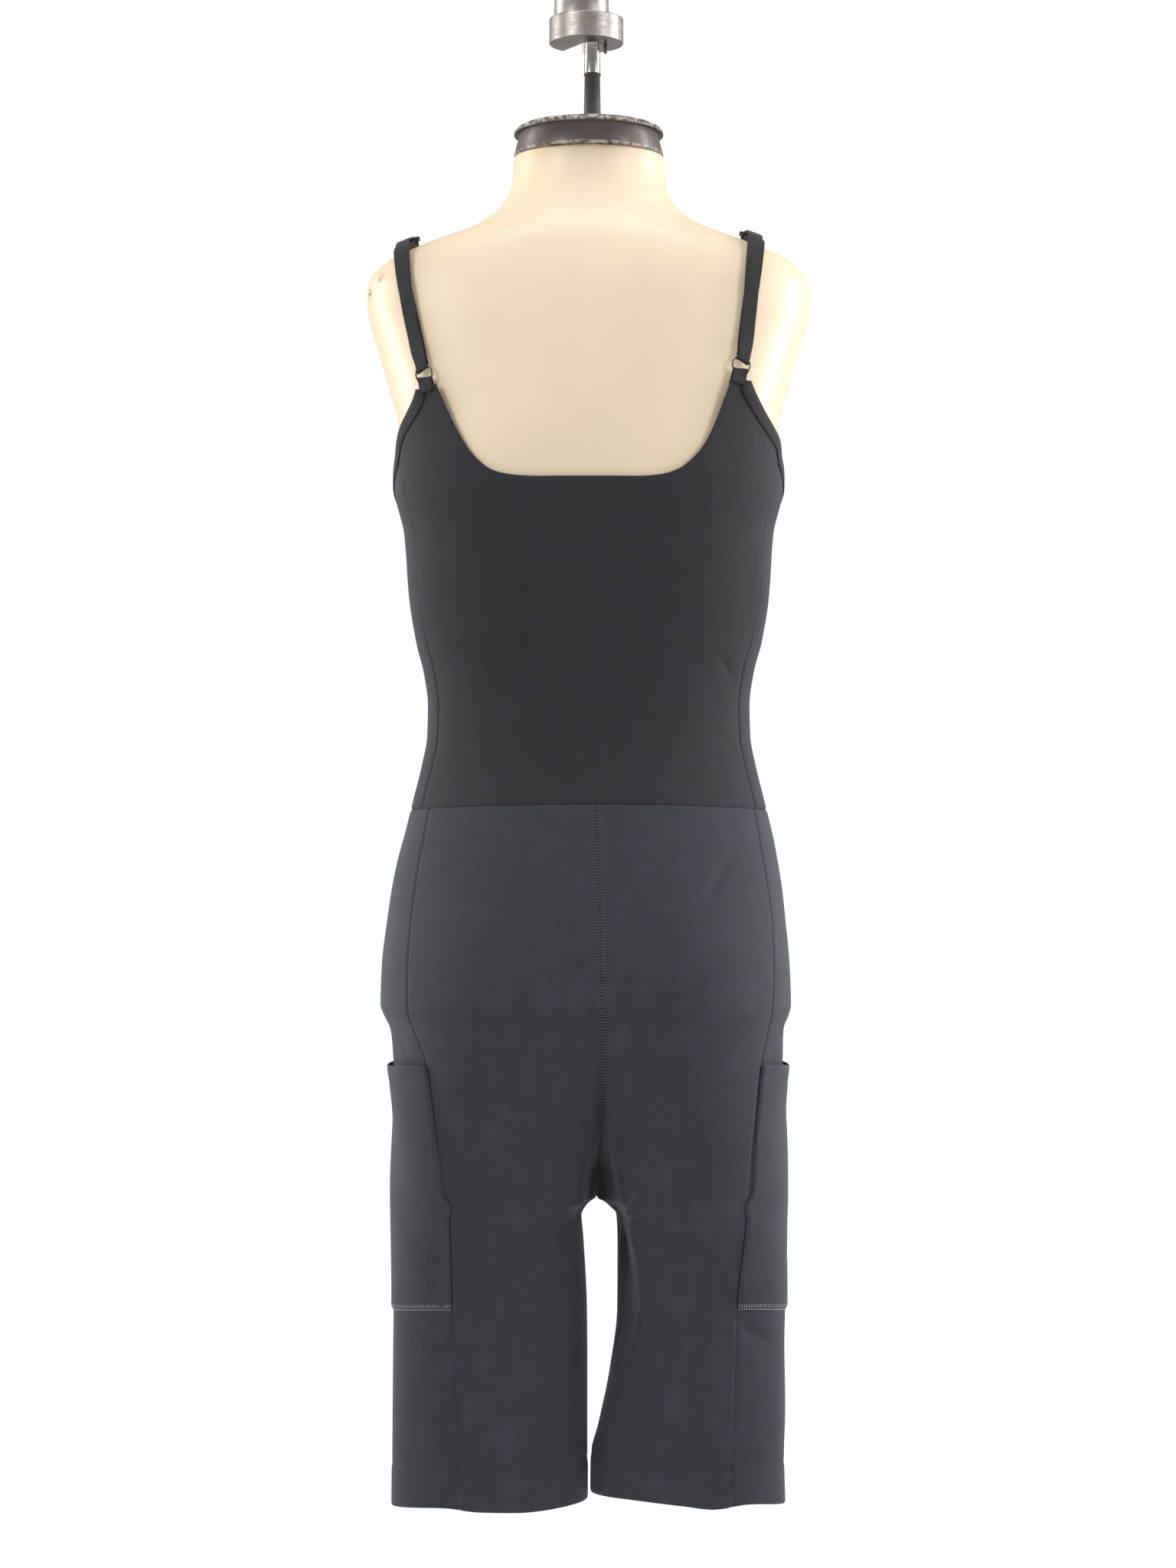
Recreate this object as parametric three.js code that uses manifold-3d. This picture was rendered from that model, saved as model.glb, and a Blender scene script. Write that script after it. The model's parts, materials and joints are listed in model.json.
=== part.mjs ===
// A sleeveless romper with thin adjustable straps, worn by a smooth limbless dress form that
// hangs by a rod from a slotted collar. Millimetres, +Z up. The back of the garment faces -Y,
// the wearer's right side is +X. Heights in the tables are above the leg hems, and the whole
// group is lowered at the end so that its origin is the flat top face of the hanging stem.
import * as THREE from "three";
import Module from "manifold-3d";
import { mergeVertices } from "three/addons/utils/BufferGeometryUtils.js";

// Driving sizes
const stemTop = 1275;
const clothWall = 1.6;
const formGap = 1.8;
const seamGap = 0.3;
const waistHeight = 581;
const waistArch = 3.5;
const hemHeight = 0;
const crotchHeight = 258;
const pocketTop = 367;
const pocketBottom = 163;
const pocketMouthLift = 3.4;
const bindingWidth = 10;
const bindingWall = 1;
const bindingGap = 0.45;
const strapWidth = 12.4;
const strapWall = 1;
const ringRadius = 7.9;
const ringWire = 0.7;
const formBottom = 404;
const neckTop = 1125.7;
const capRadius = 62.4;
const capBase = 1126;
const capTop = 1150;
const rodX = 3;
const rodRadius = 7.3;
const sleeveTop = 1196;
const collarX = -2;
const collarRadius = 31;
const collarBase = 1221;
const collarTop = 1242;
const stemRadius = 23;
const stemX = -6;

const clothColour = 0x3d3f43;
const shortsColour = 0x3f4449;
const formColour = 0xe8d6b8;
const capColour = 0x584d49;
const blackColour = 0x1b1b1d;
const steelColour = 0xb9b9b6;

// Reads a table whose first column is a height, and gives every named column at any height,
// on a curve that never overshoots its rows.
function tableOf(columns, rows) {
  const names = columns.split(" ");
  const at = rows.map((row) => row[0]);
  const tracks = names.slice(1).map((name, k) => {
    const value = rows.map((row) => row[k + 1]);
    const rise = value.slice(1).map((v, i) => (v - value[i]) / (at[i + 1] - at[i]));
    const slope = value.map((v, i) => {
      if (i === 0) return rise[0];
      if (i === value.length - 1) return rise[i - 1];
      const [before, after] = [rise[i - 1], rise[i]];
      return before * after <= 0 ? 0 : (2 * before * after) / (before + after);
    });
    return { name, value, slope };
  });
  return (height) => {
    const h = THREE.MathUtils.clamp(height, at[0], at[at.length - 1]);
    let i = 0;
    while (i < at.length - 2 && h > at[i + 1]) i++;
    const span = at[i + 1] - at[i];
    const t = (h - at[i]) / span;
    const found = {};
    for (const { name, value, slope } of tracks) {
      const start = value[i] * (1 + 2 * t) * (1 - t) ** 2 + value[i + 1] * t * t * (3 - 2 * t);
      const lean = slope[i] * t * (1 - t) ** 2 - slope[i + 1] * t * t * (1 - t);
      found[name] = start + span * lean;
    }
    return found;
  };
}

// The outer face of the garment, one half at a time. half, back and front are the reaches from
// the middle; mid is the depth of the widest point; crest is how far out the seat and the belly
// of the cloth stand furthest; the blunt columns square the curve off (2 is an ellipse).
const bodyAt = tableOf("height half back front mid crest backBlunt frontBlunt shift", [
  [0, 164.5, 46, 39, -5, 82, 2.3, 2.3, 0],
  [60, 164, 48, 41, -5, 82, 2.3, 2.3, 0],
  [120, 163.8, 52, 44, -5, 81, 2.3, 2.3, 0],
  [200, 163.4, 66, 56, -4, 78, 2.3, 2.3, 0],
  [258, 163.6, 82, 70, -3, 74, 2.3, 2.3, 0],
  [313, 163.6, 99, 82, -2, 68, 2.35, 2.3, 0],
  [360, 162.6, 113, 92, 0, 60, 2.4, 2.3, -0.5],
  [390, 163, 121, 98, 0, 54, 2.4, 2.3, -1],
  [400, 164, 125, 101, 0, 52, 2.4, 2.3, -1.5],
  [410, 168.3, 129, 104, 0, 50, 2.4, 2.3, -2],
  [419, 171, 130, 105, 0, 48, 2.4, 2.3, -2.5],
  [451, 170, 129, 107, 0, 42, 2.4, 2.3, -2.5],
  [490, 166, 123, 109, 0, 32, 2.35, 2.3, -2],
  [515, 162.9, 117, 109, 0, 26, 2.3, 2.3, -1.5],
  [537, 159, 111, 108, 0, 20, 2.3, 2.3, -1],
  [566, 152.3, 102, 105, 0, 12, 2.25, 2.3, 0],
  [592, 145.9, 94, 102, 0, 6, 2.25, 2.3, 0],
  [618, 139.5, 87, 99, 0, 0, 2.25, 2.3, 0],
  [643, 135, 83, 97, 0, 0, 2.25, 2.35, 0],
  [669, 134.4, 82, 98, 0, 0, 2.3, 2.4, 0],
  [694, 137.6, 84, 103, 0, 0, 2.35, 2.5, 0],
  [720, 144, 88, 111, 0, 0, 2.4, 2.6, 0],
  [758, 150, 94, 127, 0, 0, 2.5, 2.8, 0],
  [810, 153.9, 101, 140, 0, 0, 2.6, 2.9, 0],
  [848, 161.8, 105, 136, 0, 0, 2.6, 2.8, 0],
  [899, 162, 106, 122, 0, 0, 2.6, 2.6, 0],
  [930, 169.5, 105, 110, 0, 0, 2.6, 2.6, 0],
  [970, 181, 102, 94, 0, 0, 2.6, 2.6, 0],
  [995, 187.6, 99, 86, 0, 0, 2.6, 2.6, 0],
  [1014, 188.3, 96, 82, 0, 0, 2.6, 2.6, 0],
  [1027, 182, 93, 79, 0, 0, 2.6, 2.6, 0],
  [1037, 169.7, 90, 77, 0, 0, 2.6, 2.6, 0],
  [1046, 150, 87, 75, 0, 0, 2.6, 2.6, 0],
  [1055, 127, 83, 73, 0, 0, 2.5, 2.5, 0],
  [1062, 108, 79, 71, 0, 0, 2.4, 2.4, 0],
  [1070, 93, 75, 69, 0, 0, 2.2, 2.2, 0],
  [1085, 76, 69, 67, 0, 0, 2.1, 2.1, 0],
  [1103, 68, 64, 65, 0, 0, 2, 2, 0],
  [1126, 65.5, 61, 65, 0, 0, 2, 2, 0],
]);

// How the cloth turns in towards the middle seam and the inner legs: the turns are in degrees,
// 0 flat across the middle and 90 a full leg tube. left and right are the inner edges there.
const turnAt = tableOf("height backTurn frontTurn blunt seam left right", [
  [0, 90, 90, 2.3, 0, 1, 1.4],
  [45, 90, 90, 2.3, 0, 1, 2],
  [68, 90, 90, 2.3, 0, 1, 7.7],
  [118, 90, 90, 2.4, 0, 1, 18],
  [166, 90, 90, 2.5, 0, 1.4, 23.7],
  [225, 90, 90, 2.7, 3, 4.5, 24],
  [243, 90, 90, 2.8, 5, 6, 23],
  [252, 90, 90, 2.9, 6, 1.5, 16.5],
  [256, 90, 90, 3, 6.5, -3, 11.5],
  [258, 90, 90, 3, 6.5, -6.35, 6.65],
  [285, 78, 62, 3.2, 8.5, -8.35, 8.65],
  [313, 62, 40, 3.6, 10.2, -10.05, 10.35],
  [345, 42, 24, 3.6, 10.6, -10.45, 10.75],
  [385, 20, 10, 3.6, 10.8, -10.65, 10.95],
  [404, 6, 4, 3.6, 10.6, -10.45, 10.75],
  [443, 3, 3, 3.6, 9.6, -9.45, 9.75],
  [522, 3, 3, 3.6, 8.3, -8.15, 8.45],
  [581, 3, 3, 3.6, 5.8, -5.65, 5.95],
]);

// Where the side panel's back seam runs: its distance out from the middle on each side.
const sideSeamAt = tableOf("height left right", [
  [0, 106.2, 117],
  [90, 109, 120],
  [170, 112.2, 122.3],
  [236, 113, 128.5],
  [322, 123.5, 134.8],
  [376, 131, 141.4],
  [400, 139.3, 147.5],
  [419, 144, 151.7],
  [447, 144.4, 153.2],
  [484, 143, 152.3],
  [519, 139.8, 147.6],
  [555, 135.2, 140.6],
  [581, 131.3, 136],
]);

// Soft troughs (negative) and ridges in the hanging cloth, each a straight stroke between two
// points of the named face, with its half width.
const folds = [
  // face, out1, up1, out2, up2, halfWidth, depth
  ["back", 119, 547, 93, 503, 14, -0.7],
  ["back", 90, 441, 30, 388, 14, -1.1],
  ["back", 41, 368, 20, 303, 10, -2.6],
  ["back", -34, 372, -14, 300, 12, -2.2],
  ["back", 31, 262, 45, 190, 10, 2.2],
  ["back", -92, 200, -20, 198, 16, -1.6],
  ["back", 44, 198, 96, 196, 16, -1.6],
  ["back", -122, 232, -118, 178, 12, -1.6],
  ["back", 122, 164, 148, 140, 10, -1.4],
  ["back", 144, 808, 140, 722, 9, 1.3],
  ["front", 40, 372, 20, 300, 12, -2.2],
  ["front", -44, 368, -18, 296, 12, -2.4],
  ["front", 88, 420, 36, 380, 14, -0.8],
  ["front", -96, 408, -30, 372, 14, -1],
  ["front", 60, 204, 118, 196, 16, -1.6],
  ["front", -66, 190, -120, 200, 16, -1.5],
].map(([face, out1, up1, out2, up2, halfWidth, depth]) => ({
  face,
  out1,
  up1,
  out2,
  up2,
  halfWidth,
  depth,
}));

// The edges of the bodice, as rows of distance out from the middle and height: the armhole from
// near the underarm up to the strap point, and the neckline from there to the middle.
const underarm = { left: 872, right: 871 };
const armholeCurve = {
  backLeft: [[157.4, 883], [154.4, 893], [148.2, 903.7], [142.8, 913], [139.6, 921.6]],
  backRight: [[157, 882.5], [149.6, 895], [142.4, 905.4], [134.7, 918.6], [130.6, 927.8]],
  frontLeft: [[153, 874], [148.5, 883], [143.5, 893], [138.8, 905], [134.5, 917], [132.5, 926]],
  frontRight: [[153, 874], [148.5, 883], [143.5, 893], [138.8, 905], [134.5, 917], [132.5, 926]],
};
// Under the arm the edge dips in front of the side seam: share of the way round, and height.
const underarmDip = [[0.91, 862], [0.99, 854], [1.07, 849], [1.15, 848.5], [1.22, 856]];
const necklineCurve = {
  backLeft: [[124, 925.4], [117, 909.5], [110.7, 895.7], [104.5, 883.8], [98.3, 873.7], [92, 865.5],
    [79.6, 855.3], [67, 851.2], [48.7, 849.2], [25, 849], [0, 849]],
  backRight: [[115.8, 929.6], [105.6, 902], [99.5, 887.2], [93.2, 875.4], [87, 867.2], [74.6, 856.4],
    [62, 851.4], [46, 849.2], [25, 849], [0, 849]],
  frontLeft: [[119.5, 927], [110, 908], [98, 890], [82, 875], [62, 864], [40, 858], [18, 856], [0, 855.5]],
  frontRight: [[119.5, 927], [110, 908], [98, 890], [82, 875], [62, 864], [40, 858], [18, 856], [0, 855.5]],
};

const smoothstep = THREE.MathUtils.smoothstep;
const quarterSteps = 26;
const sections = new Map();

// How much further than the form the bodice stands, near the strap points.
const strapStand = (height) => 4 * smoothstep(height, 858, 928);

// The outline of one half of a level, as a fine polyline from the middle of the back (or the
// inner leg) round the side to the middle of the front, with its running length.
function halfSection(side, height, isForm) {
  const key = side + "/" + height.toFixed(3) + "/" + isForm;
  if (sections.has(key)) return sections.get(key);
  const body = bodyAt(height);
  const turn = turnAt(height);
  const inset = isForm ? clothWall + formGap : -strapStand(height);
  const half = body.half - inset + side * body.shift;
  const back = body.back - inset;
  const front = body.front - inset;
  const crest = isForm ? 0 : Math.min(body.crest, half * 0.5);
  const inner = isForm || height > waistHeight + 30 ? 0 : side < 0 ? turn.left : turn.right;
  const points = [];
  const arc = (reach, depth, blunt, angle) => {
    const x = reach * Math.abs(Math.sin(angle)) ** (2 / blunt);
    const y = depth * Math.abs(Math.cos(angle)) ** (2 / blunt);
    return [x, y];
  };
  const innerPart = (depth, degrees, sign) => {
    const end = THREE.MathUtils.degToRad(degrees);
    const reach = (crest - inner) / Math.sin(end) ** (2 / turn.blunt);
    const part = [];
    for (let i = 0; i <= quarterSteps; i++) {
      const [x, y] = arc(reach, depth, turn.blunt, (end * i) / quarterSteps);
      part.push([crest - x, body.mid + sign * y]);
    }
    return part;
  };
  const outerPart = (depth, blunt, sign) => {
    const part = [];
    for (let i = 0; i <= quarterSteps; i++) {
      const [x, y] = arc(half - crest, depth, blunt, (Math.PI / 2) * (i / quarterSteps));
      part.push([crest + x, body.mid + sign * y]);
    }
    return part;
  };
  const backDepth = back + body.mid;
  const frontDepth = front - body.mid;
  if (crest > inner) points.push(...innerPart(backDepth, turn.backTurn, -1).reverse().slice(0, -1));
  points.push(...outerPart(backDepth, body.backBlunt, -1));
  const widest = points.length - 1;
  points.push(...outerPart(frontDepth, body.frontBlunt, 1).reverse().slice(1));
  if (crest > inner) points.push(...innerPart(frontDepth, turn.frontTurn, 1).slice(1));
  const run = [0];
  for (let i = 1; i < points.length; i++) {
    const [a, b] = [points[i - 1], points[i]];
    run.push(run[i - 1] + Math.hypot(b[0] - a[0], b[1] - a[1]));
  }
  const found = { points, run, widest };
  sections.set(key, found);
  return found;
}

// The share of the way round at which a level's back or front reaches a distance out.
function shareAtOut(side, height, out, isFront) {
  const { points, run, widest } = halfSection(side, height, false);
  const step = isFront ? 1 : -1;
  const last = isFront ? points.length - 1 : 0;
  let i = widest;
  while (i !== last && points[i + step][0] > out) i += step;
  if (i === last) return isFront ? 2 : 0;
  const [a, b] = [points[i], points[i + step]];
  const t = THREE.MathUtils.clamp((a[0] - out) / (a[0] - b[0]), 0, 1);
  const along = run[i] + t * (run[i + step] - run[i]);
  if (!isFront) return along / run[widest];
  return 1 + (along - run[widest]) / (run[run.length - 1] - run[widest]);
}

function foldDepth(x, y, height) {
  let depth = 0;
  for (const fold of folds) {
    if ((fold.face === "back") !== y < 0) continue;
    const [dx, dz] = [fold.out2 - fold.out1, fold.up2 - fold.up1];
    const along = ((x - fold.out1) * dx + (height - fold.up1) * dz) / (dx * dx + dz * dz);
    const t = THREE.MathUtils.clamp(along, 0, 1);
    const away = Math.hypot(x - fold.out1 - t * dx, height - fold.up1 - t * dz);
    const fade = Math.sin(Math.PI * THREE.MathUtils.clamp(t, 0.08, 0.92)) ** 0.7;
    depth += fold.depth * fade * Math.exp(-((away / fold.halfWidth) ** 2) * 1.4);
  }
  return depth;
}

// A point of the garment's outer face: share runs from 0 at the middle of the back (or the inner
// leg) to 1 at the widest point and 2 at the middle of the front, negative on the left. lift
// moves it out along the level's normal.
function clothPoint(share, height, lift, sideOfZero = 1) {
  const side = share < 0 || (share === 0 && sideOfZero < 0) ? -1 : 1;
  const { points, run, widest } = halfSection(side, height, false);
  const s = Math.min(Math.abs(share), 2);
  const total = run[run.length - 1];
  const along = s <= 1 ? s * run[widest] : run[widest] + (s - 1) * (total - run[widest]);
  let i = 0;
  while (i < run.length - 2 && run[i + 1] < along) i++;
  const t = (along - run[i]) / Math.max(run[i + 1] - run[i], 1e-9);
  const [a, b] = [points[i], points[i + 1]];
  const x = a[0] + t * (b[0] - a[0]);
  const y = a[1] + t * (b[1] - a[1]);
  // The normal is taken over a few millimetres, so that it turns evenly round the corners.
  const [before, after] = [pointAlong(points, run, along - 3), pointAlong(points, run, along + 3)];
  const length = Math.hypot(after[0] - before[0], after[1] - before[1]);
  const nx = (after[1] - before[1]) / length;
  const ny = -(after[0] - before[0]) / length;
  const out = lift + foldDepth(side * x, y, height);
  const { seam } = turnAt(height);
  const middle = height > crotchHeight && height <= waistHeight + 5 ? side * seam + seamGap / 2 : -Infinity;
  const moved = s < 0.3 || s > 1.7 ? Math.max(x + nx * out, middle) : x + nx * out;
  return new THREE.Vector3(side * moved, y + ny * out, height);
}

function pointAlong(points, run, along) {
  const wanted = THREE.MathUtils.clamp(along, 0, run[run.length - 1]);
  let i = 0;
  while (i < run.length - 2 && run[i + 1] < wanted) i++;
  const t = (wanted - run[i]) / Math.max(run[i + 1] - run[i], 1e-9);
  const [a, b] = [points[i], points[i + 1]];
  return [a[0] + t * (b[0] - a[0]), a[1] + t * (b[1] - a[1])];
}

const material = (color, roughness, metalness = 0) =>
  new THREE.MeshStandardMaterial({ color, roughness, metalness, side: THREE.DoubleSide });
const finishes = {
  bodice: material(clothColour, 0.8),
  shorts: material(shortsColour, 0.8),
  form: material(formColour, 0.28),
  cap: material(capColour, 0.55),
  black: material(blackColour, 0.4),
  wire: material(blackColour, 0.35, 0.6),
  steel: material(steelColour, 0.32, 1),
};

const group = new THREE.Group();

function addMesh(name, geometry, finish) {
  const mesh = new THREE.Mesh(geometry, finish);
  mesh.name = name;
  group.add(mesh);
}

// A closed mesh from a list of corner points and triangles, turned to face out.
function solidFrom(corners, triangles) {
  let volume = 0;
  for (const [a, b, c] of triangles) {
    volume += corners[a].dot(new THREE.Vector3().crossVectors(corners[b], corners[c]));
  }
  const index = triangles.flatMap(([a, b, c]) => (volume < 0 ? [a, c, b] : [a, b, c]));
  const geometry = new THREE.BufferGeometry().setFromPoints(corners);
  geometry.setIndex(index);
  geometry.computeVertexNormals();
  return geometry;
}

// A wall of cloth between an outer and an inner grid, closed round its four edges.
// pointAt(u, v, layer) gives a point for u across and v up, with layer 0 outside and 1 inside.
function wall(columns, rows, pointAt) {
  const corners = [];
  const at = (layer, i, j) => layer * (columns.length * rows.length) + j * columns.length + i;
  for (const layer of [0, 1]) {
    for (const v of rows) {
      for (const u of columns) corners.push(pointAt(u, v, layer));
    }
  }
  const triangles = [];
  // Each face is split along its shorter diagonal, so that laid pieces fold as their panels do.
  const quad = (a, b, c, d) => {
    const isFirst = corners[a].distanceTo(corners[c]) <= corners[b].distanceTo(corners[d]);
    if (isFirst) triangles.push([a, b, c], [a, c, d]);
    else triangles.push([a, b, d], [b, c, d]);
  };
  const [lastU, lastV] = [columns.length - 1, rows.length - 1];
  for (let j = 0; j < lastV; j++) {
    for (let i = 0; i < lastU; i++) {
      quad(at(0, i, j), at(0, i + 1, j), at(0, i + 1, j + 1), at(0, i, j + 1));
      quad(at(1, i, j), at(1, i, j + 1), at(1, i + 1, j + 1), at(1, i + 1, j));
    }
  }
  for (let i = 0; i < lastU; i++) {
    quad(at(0, i, 0), at(1, i, 0), at(1, i + 1, 0), at(0, i + 1, 0));
    quad(at(0, i, lastV), at(0, i + 1, lastV), at(1, i + 1, lastV), at(1, i, lastV));
  }
  for (let j = 0; j < lastV; j++) {
    quad(at(0, 0, j), at(0, 0, j + 1), at(1, 0, j + 1), at(1, 0, j));
    quad(at(0, lastU, j), at(1, lastU, j), at(1, lastU, j + 1), at(0, lastU, j + 1));
  }
  return solidFrom(corners, triangles);
}

// A closed solid through rings of equal length, with a flat fan over each end.
function loft(rings) {
  const size = rings[0].length;
  const corners = rings.flat();
  const triangles = [];
  for (let j = 0; j < rings.length - 1; j++) {
    for (let i = 0; i < size; i++) {
      const [a, b] = [j * size + i, j * size + ((i + 1) % size)];
      triangles.push([a, b, b + size], [a, b + size, a + size]);
    }
  }
  const top = (rings.length - 1) * size;
  for (let i = 1; i < size - 1; i++) {
    triangles.push([0, i + 1, i], [top, top + i, top + i + 1]);
  }
  return solidFrom(corners, triangles);
}

const steps = (count, from = 0, to = 1) =>
  Array.from({ length: count + 1 }, (_, i) => from + ((to - from) * i) / count);
const mix = THREE.MathUtils.lerp;
const layerLift = (layer) => (layer ? -clothWall : 0);
const nameOf = (side) => (side < 0 ? "left" : "right");

// The waist seam's height, arched a little over the small of the back.
const waistAt = (share) =>
  waistHeight + waistArch * Math.cos((Math.PI / 2) * Math.min(Math.abs(share), 1)) ** 2;

// Shares round the level at which the side panel's two seams run.
const backSeam = (side, height) =>
  shareAtOut(side, height, sideSeamAt(height)[nameOf(side)] + side * bodyAt(height).shift, false);
const frontSeam = (side, height) =>
  shareAtOut(side, height, sideSeamAt(height)[nameOf(side)] + side * bodyAt(height).shift, true);

// Levels of the legs' grids, closer where the legs part and below the form's edge.
const legLevels = [
  hemHeight, 27, 54, 81, 108, 135, pocketBottom, 185, 206, 226, 242, 251, 256, 262, 276, 292, 310,
  330, 350, pocketTop, 386, 398, 408, 418, 436, 462, 488, 514, 540, 562, waistHeight,
];

// Keeps a share off its seam by half the seam gap.
const besideSeam = (side, height, share, sign) => {
  const { run, widest } = halfSection(side, height, false);
  const length = share <= 1 ? run[widest] : run[run.length - 1] - run[widest];
  return share + (sign * seamGap) / 2 / length;
};

function legPanel(side, face, columnCount) {
  const isBack = face === "back";
  return wall(steps(columnCount), legLevels, (u, level, layer) => {
    const seam = isBack ? backSeam(side, level) : frontSeam(side, level);
    const edge = besideSeam(side, level, seam, isBack ? -1 : 1);
    const middle = isBack ? 0 : 2;
    const tidy = level < crotchHeight ? (isBack ? 0.002 : -0.002) : 0;
    const share = mix(middle + tidy, edge, u);
    const topShift = level === waistHeight ? waistAt(share) - waistHeight - seamGap / 2 : 0;
    return clothPoint(side * share, level + topShift, layerLift(layer), side);
  });
}

function sidePanel(side, columnCount) {
  return wall(steps(columnCount), legLevels, (u, level, layer) => {
    const from = besideSeam(side, level, backSeam(side, level), 1);
    const to = besideSeam(side, level, frontSeam(side, level), -1);
    const share = mix(from, to, u);
    const topShift = level === waistHeight ? waistAt(share) - waistHeight - seamGap / 2 : 0;
    return clothPoint(side * share, level + topShift, layerLift(layer), side);
  });
}

// The pocket covers the side panel between its seams and stands a little open at its mouth.
function pocket(side, columnCount) {
  const levels = legLevels.filter((level) => level >= pocketBottom && level <= pocketTop);
  return wall(steps(columnCount), levels, (u, level, layer) => {
    const from = besideSeam(side, level, backSeam(side, level), 1);
    const to = besideSeam(side, level, frontSeam(side, level), -1);
    const share = mix(from, to, u);
    const mouth = pocketMouthLift * smoothstep(level, 318, pocketTop) * Math.sin(Math.PI * u) ** 0.5;
    const lift = seamGap + mouth + (layer ? 0 : clothWall);
    return clothPoint(side * share, level, lift, side);
  });
}

// A smooth curve through rows of (out, height), resampled to a number of even steps.
function edgeCurve(rows, count) {
  const curve = new THREE.CatmullRomCurve3(rows.map(([out, height]) => new THREE.Vector3(out, 0, height)));
  return curve.getSpacedPoints(count).map((p) => ({ out: p.x, height: p.z }));
}

// The bodice's side seam lies a little behind the widest point and nears it at its top.
function bodiceSeam(side, height) {
  const inset = mix(10.5, 2.4, smoothstep(height, 846, 880));
  return shareAtOut(side, height, bodyAt(height).half + strapStand(height) - inset, false);
}

const armholeSteps = 5;
const necklineSteps = 8;

// One side's edge of the back or front bodice, as shares and heights: the seam's top end, the
// armhole up to the strap point, then the neckline to the middle.
function halfEdge(face, side) {
  const isFront = face === "front";
  const name = face + (side < 0 ? "Left" : "Right");
  const place = (p) => ({ share: shareAtOut(side, p.height, p.out, isFront), height: p.height });
  const armhole = edgeCurve(armholeCurve[name], armholeSteps).map(place);
  const neckline = edgeCurve(necklineCurve[name], necklineSteps).map(place);
  neckline[necklineSteps].share = isFront ? 2 : 0;
  const seamTop = underarm[nameOf(side)];
  const seamPoint = { share: bodiceSeam(side, seamTop), height: seamTop };
  const dip = isFront ? underarmDip.map(([share, height]) => ({ share, height })) : [];
  return { armhole: [seamPoint, ...dip, ...armhole], neckline };
}

// Moves each stop of an edge into the cloth by the width of the binding.
function insetEdge(edge, side, face) {
  const isSeamFirst = edge[0].share === bodiceSeam(side, edge[0].height);
  const points = edge.map((p) => clothPoint(side * p.share, p.height, 0, side));
  return edge.map(({ share, height }, i) => {
    if (i === 0 && isSeamFirst) {
      const lower = height - bindingWidth;
      return { share: bodiceSeam(side, lower), height: lower };
    }
    const [before, after] = [points[Math.max(i - 1, 0)], points[Math.min(i + 1, edge.length - 1)]];
    const along = after.clone().sub(before).normalize();
    const reach = share < 1.99 ? 0.01 : -0.01;
    const round = clothPoint(side * (share + reach), height, 0, side).sub(points[i]);
    const sharePerMm = reach / round.length();
    round.normalize();
    const normal = clothPoint(side * share, height, 1, side).sub(points[i]).normalize();
    const across = new THREE.Vector3().crossVectors(along, normal).normalize();
    if (across.z > 0) across.negate();
    const lower = height + across.z * bindingWidth;
    const moved = share + across.dot(round) * bindingWidth * sharePerMm;
    // Near the seam the inner line keeps to its own side of it.
    const seam = bodiceSeam(side, lower);
    const kept = face === "front" ? Math.max(moved, seam + 0.014 * i) : Math.min(moved, seam - 0.014 * i);
    return { share: isSeamFirst ? kept : moved, height: lower };
  });
}

function bodiceEdges(face, side) {
  const { armhole, neckline } = halfEdge(face, side);
  const edge = [...armhole, ...neckline];
  const inner = [...insetEdge(armhole, side, face), ...insetEdge(neckline, side, face)];
  inner[inner.length - 1].share = neckline[neckline.length - 1].share;
  return { edge, inner, armholeCount: armhole.length };
}

const bodiceRows = [0, 0.09, 0.19, 0.29, 0.39, 0.49, 0.59, 0.69, 0.79, 0.9, 1];

// The back or front of the bodice, from the waist seam up to its edges, with its last row at
// the inner line of the binding.
function bodice(face) {
  const isFront = face === "front";
  const middleShare = isFront ? 2 : 0;
  const columns = [];
  for (const side of [-1, 1]) {
    const { edge, inner } = bodiceEdges(face, side);
    const lowSeam = bodiceSeam(side, waistHeight);
    const stops = edge.map((top, i) => ({
      side,
      top,
      inner: inner[i],
      toMiddle: i / (edge.length - 1),
      low: mix(lowSeam, middleShare, i / (edge.length - 1)),
    }));
    columns.push(...(side < 0 ? stops : stops.reverse().slice(1)));
  }
  const count = columns.length - 1;
  return wall(steps(count), [...bodiceRows, 2], (u, v, layer) => {
    const { side, top, inner, low, toMiddle } = columns[Math.round(u * count)];
    const height = v > 1 ? top.height : mix(waistAt(low) + seamGap / 2, inner.height, v);
    const seam = bodiceSeam(side, height);
    let share = top.share;
    if (v <= 1) {
      // Columns follow the seam's bend, fully beside it and not at all in the middle.
      const straight = mix(bodiceSeam(side, waistHeight), bodiceSeam(side, inner.height), v);
      share = mix(low, inner.share, v) + (seam - straight) * (1 - toMiddle ** 2);
    }
    if (toMiddle === 0) share = besideSeam(side, height, seam, isFront ? 1 : -1);
    return clothPoint(side * share, height, layerLift(layer), side);
  });
}

// The armhole binding: a strip laid on the bodice along the whole armhole, from the back strap
// point under the arm to the front one.
function binding(side) {
  const stretch = (face) => {
    const { edge, inner, armholeCount } = bodiceEdges(face, side);
    return edge.slice(0, armholeCount).map((outer, i) => ({ outer, inner: inner[i] }));
  };
  const route = [...stretch("back").reverse(), ...stretch("front").slice(1)];
  const last = route.length - 1;
  return wall(steps(last), [0, 1], (u, v, layer) => {
    const { outer, inner } = route[Math.round(u * last)];
    const { share, height } = v ? inner : outer;
    return clothPoint(side * share, height, bindingGap + (layer ? 0 : bindingWall), side);
  });
}

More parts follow.
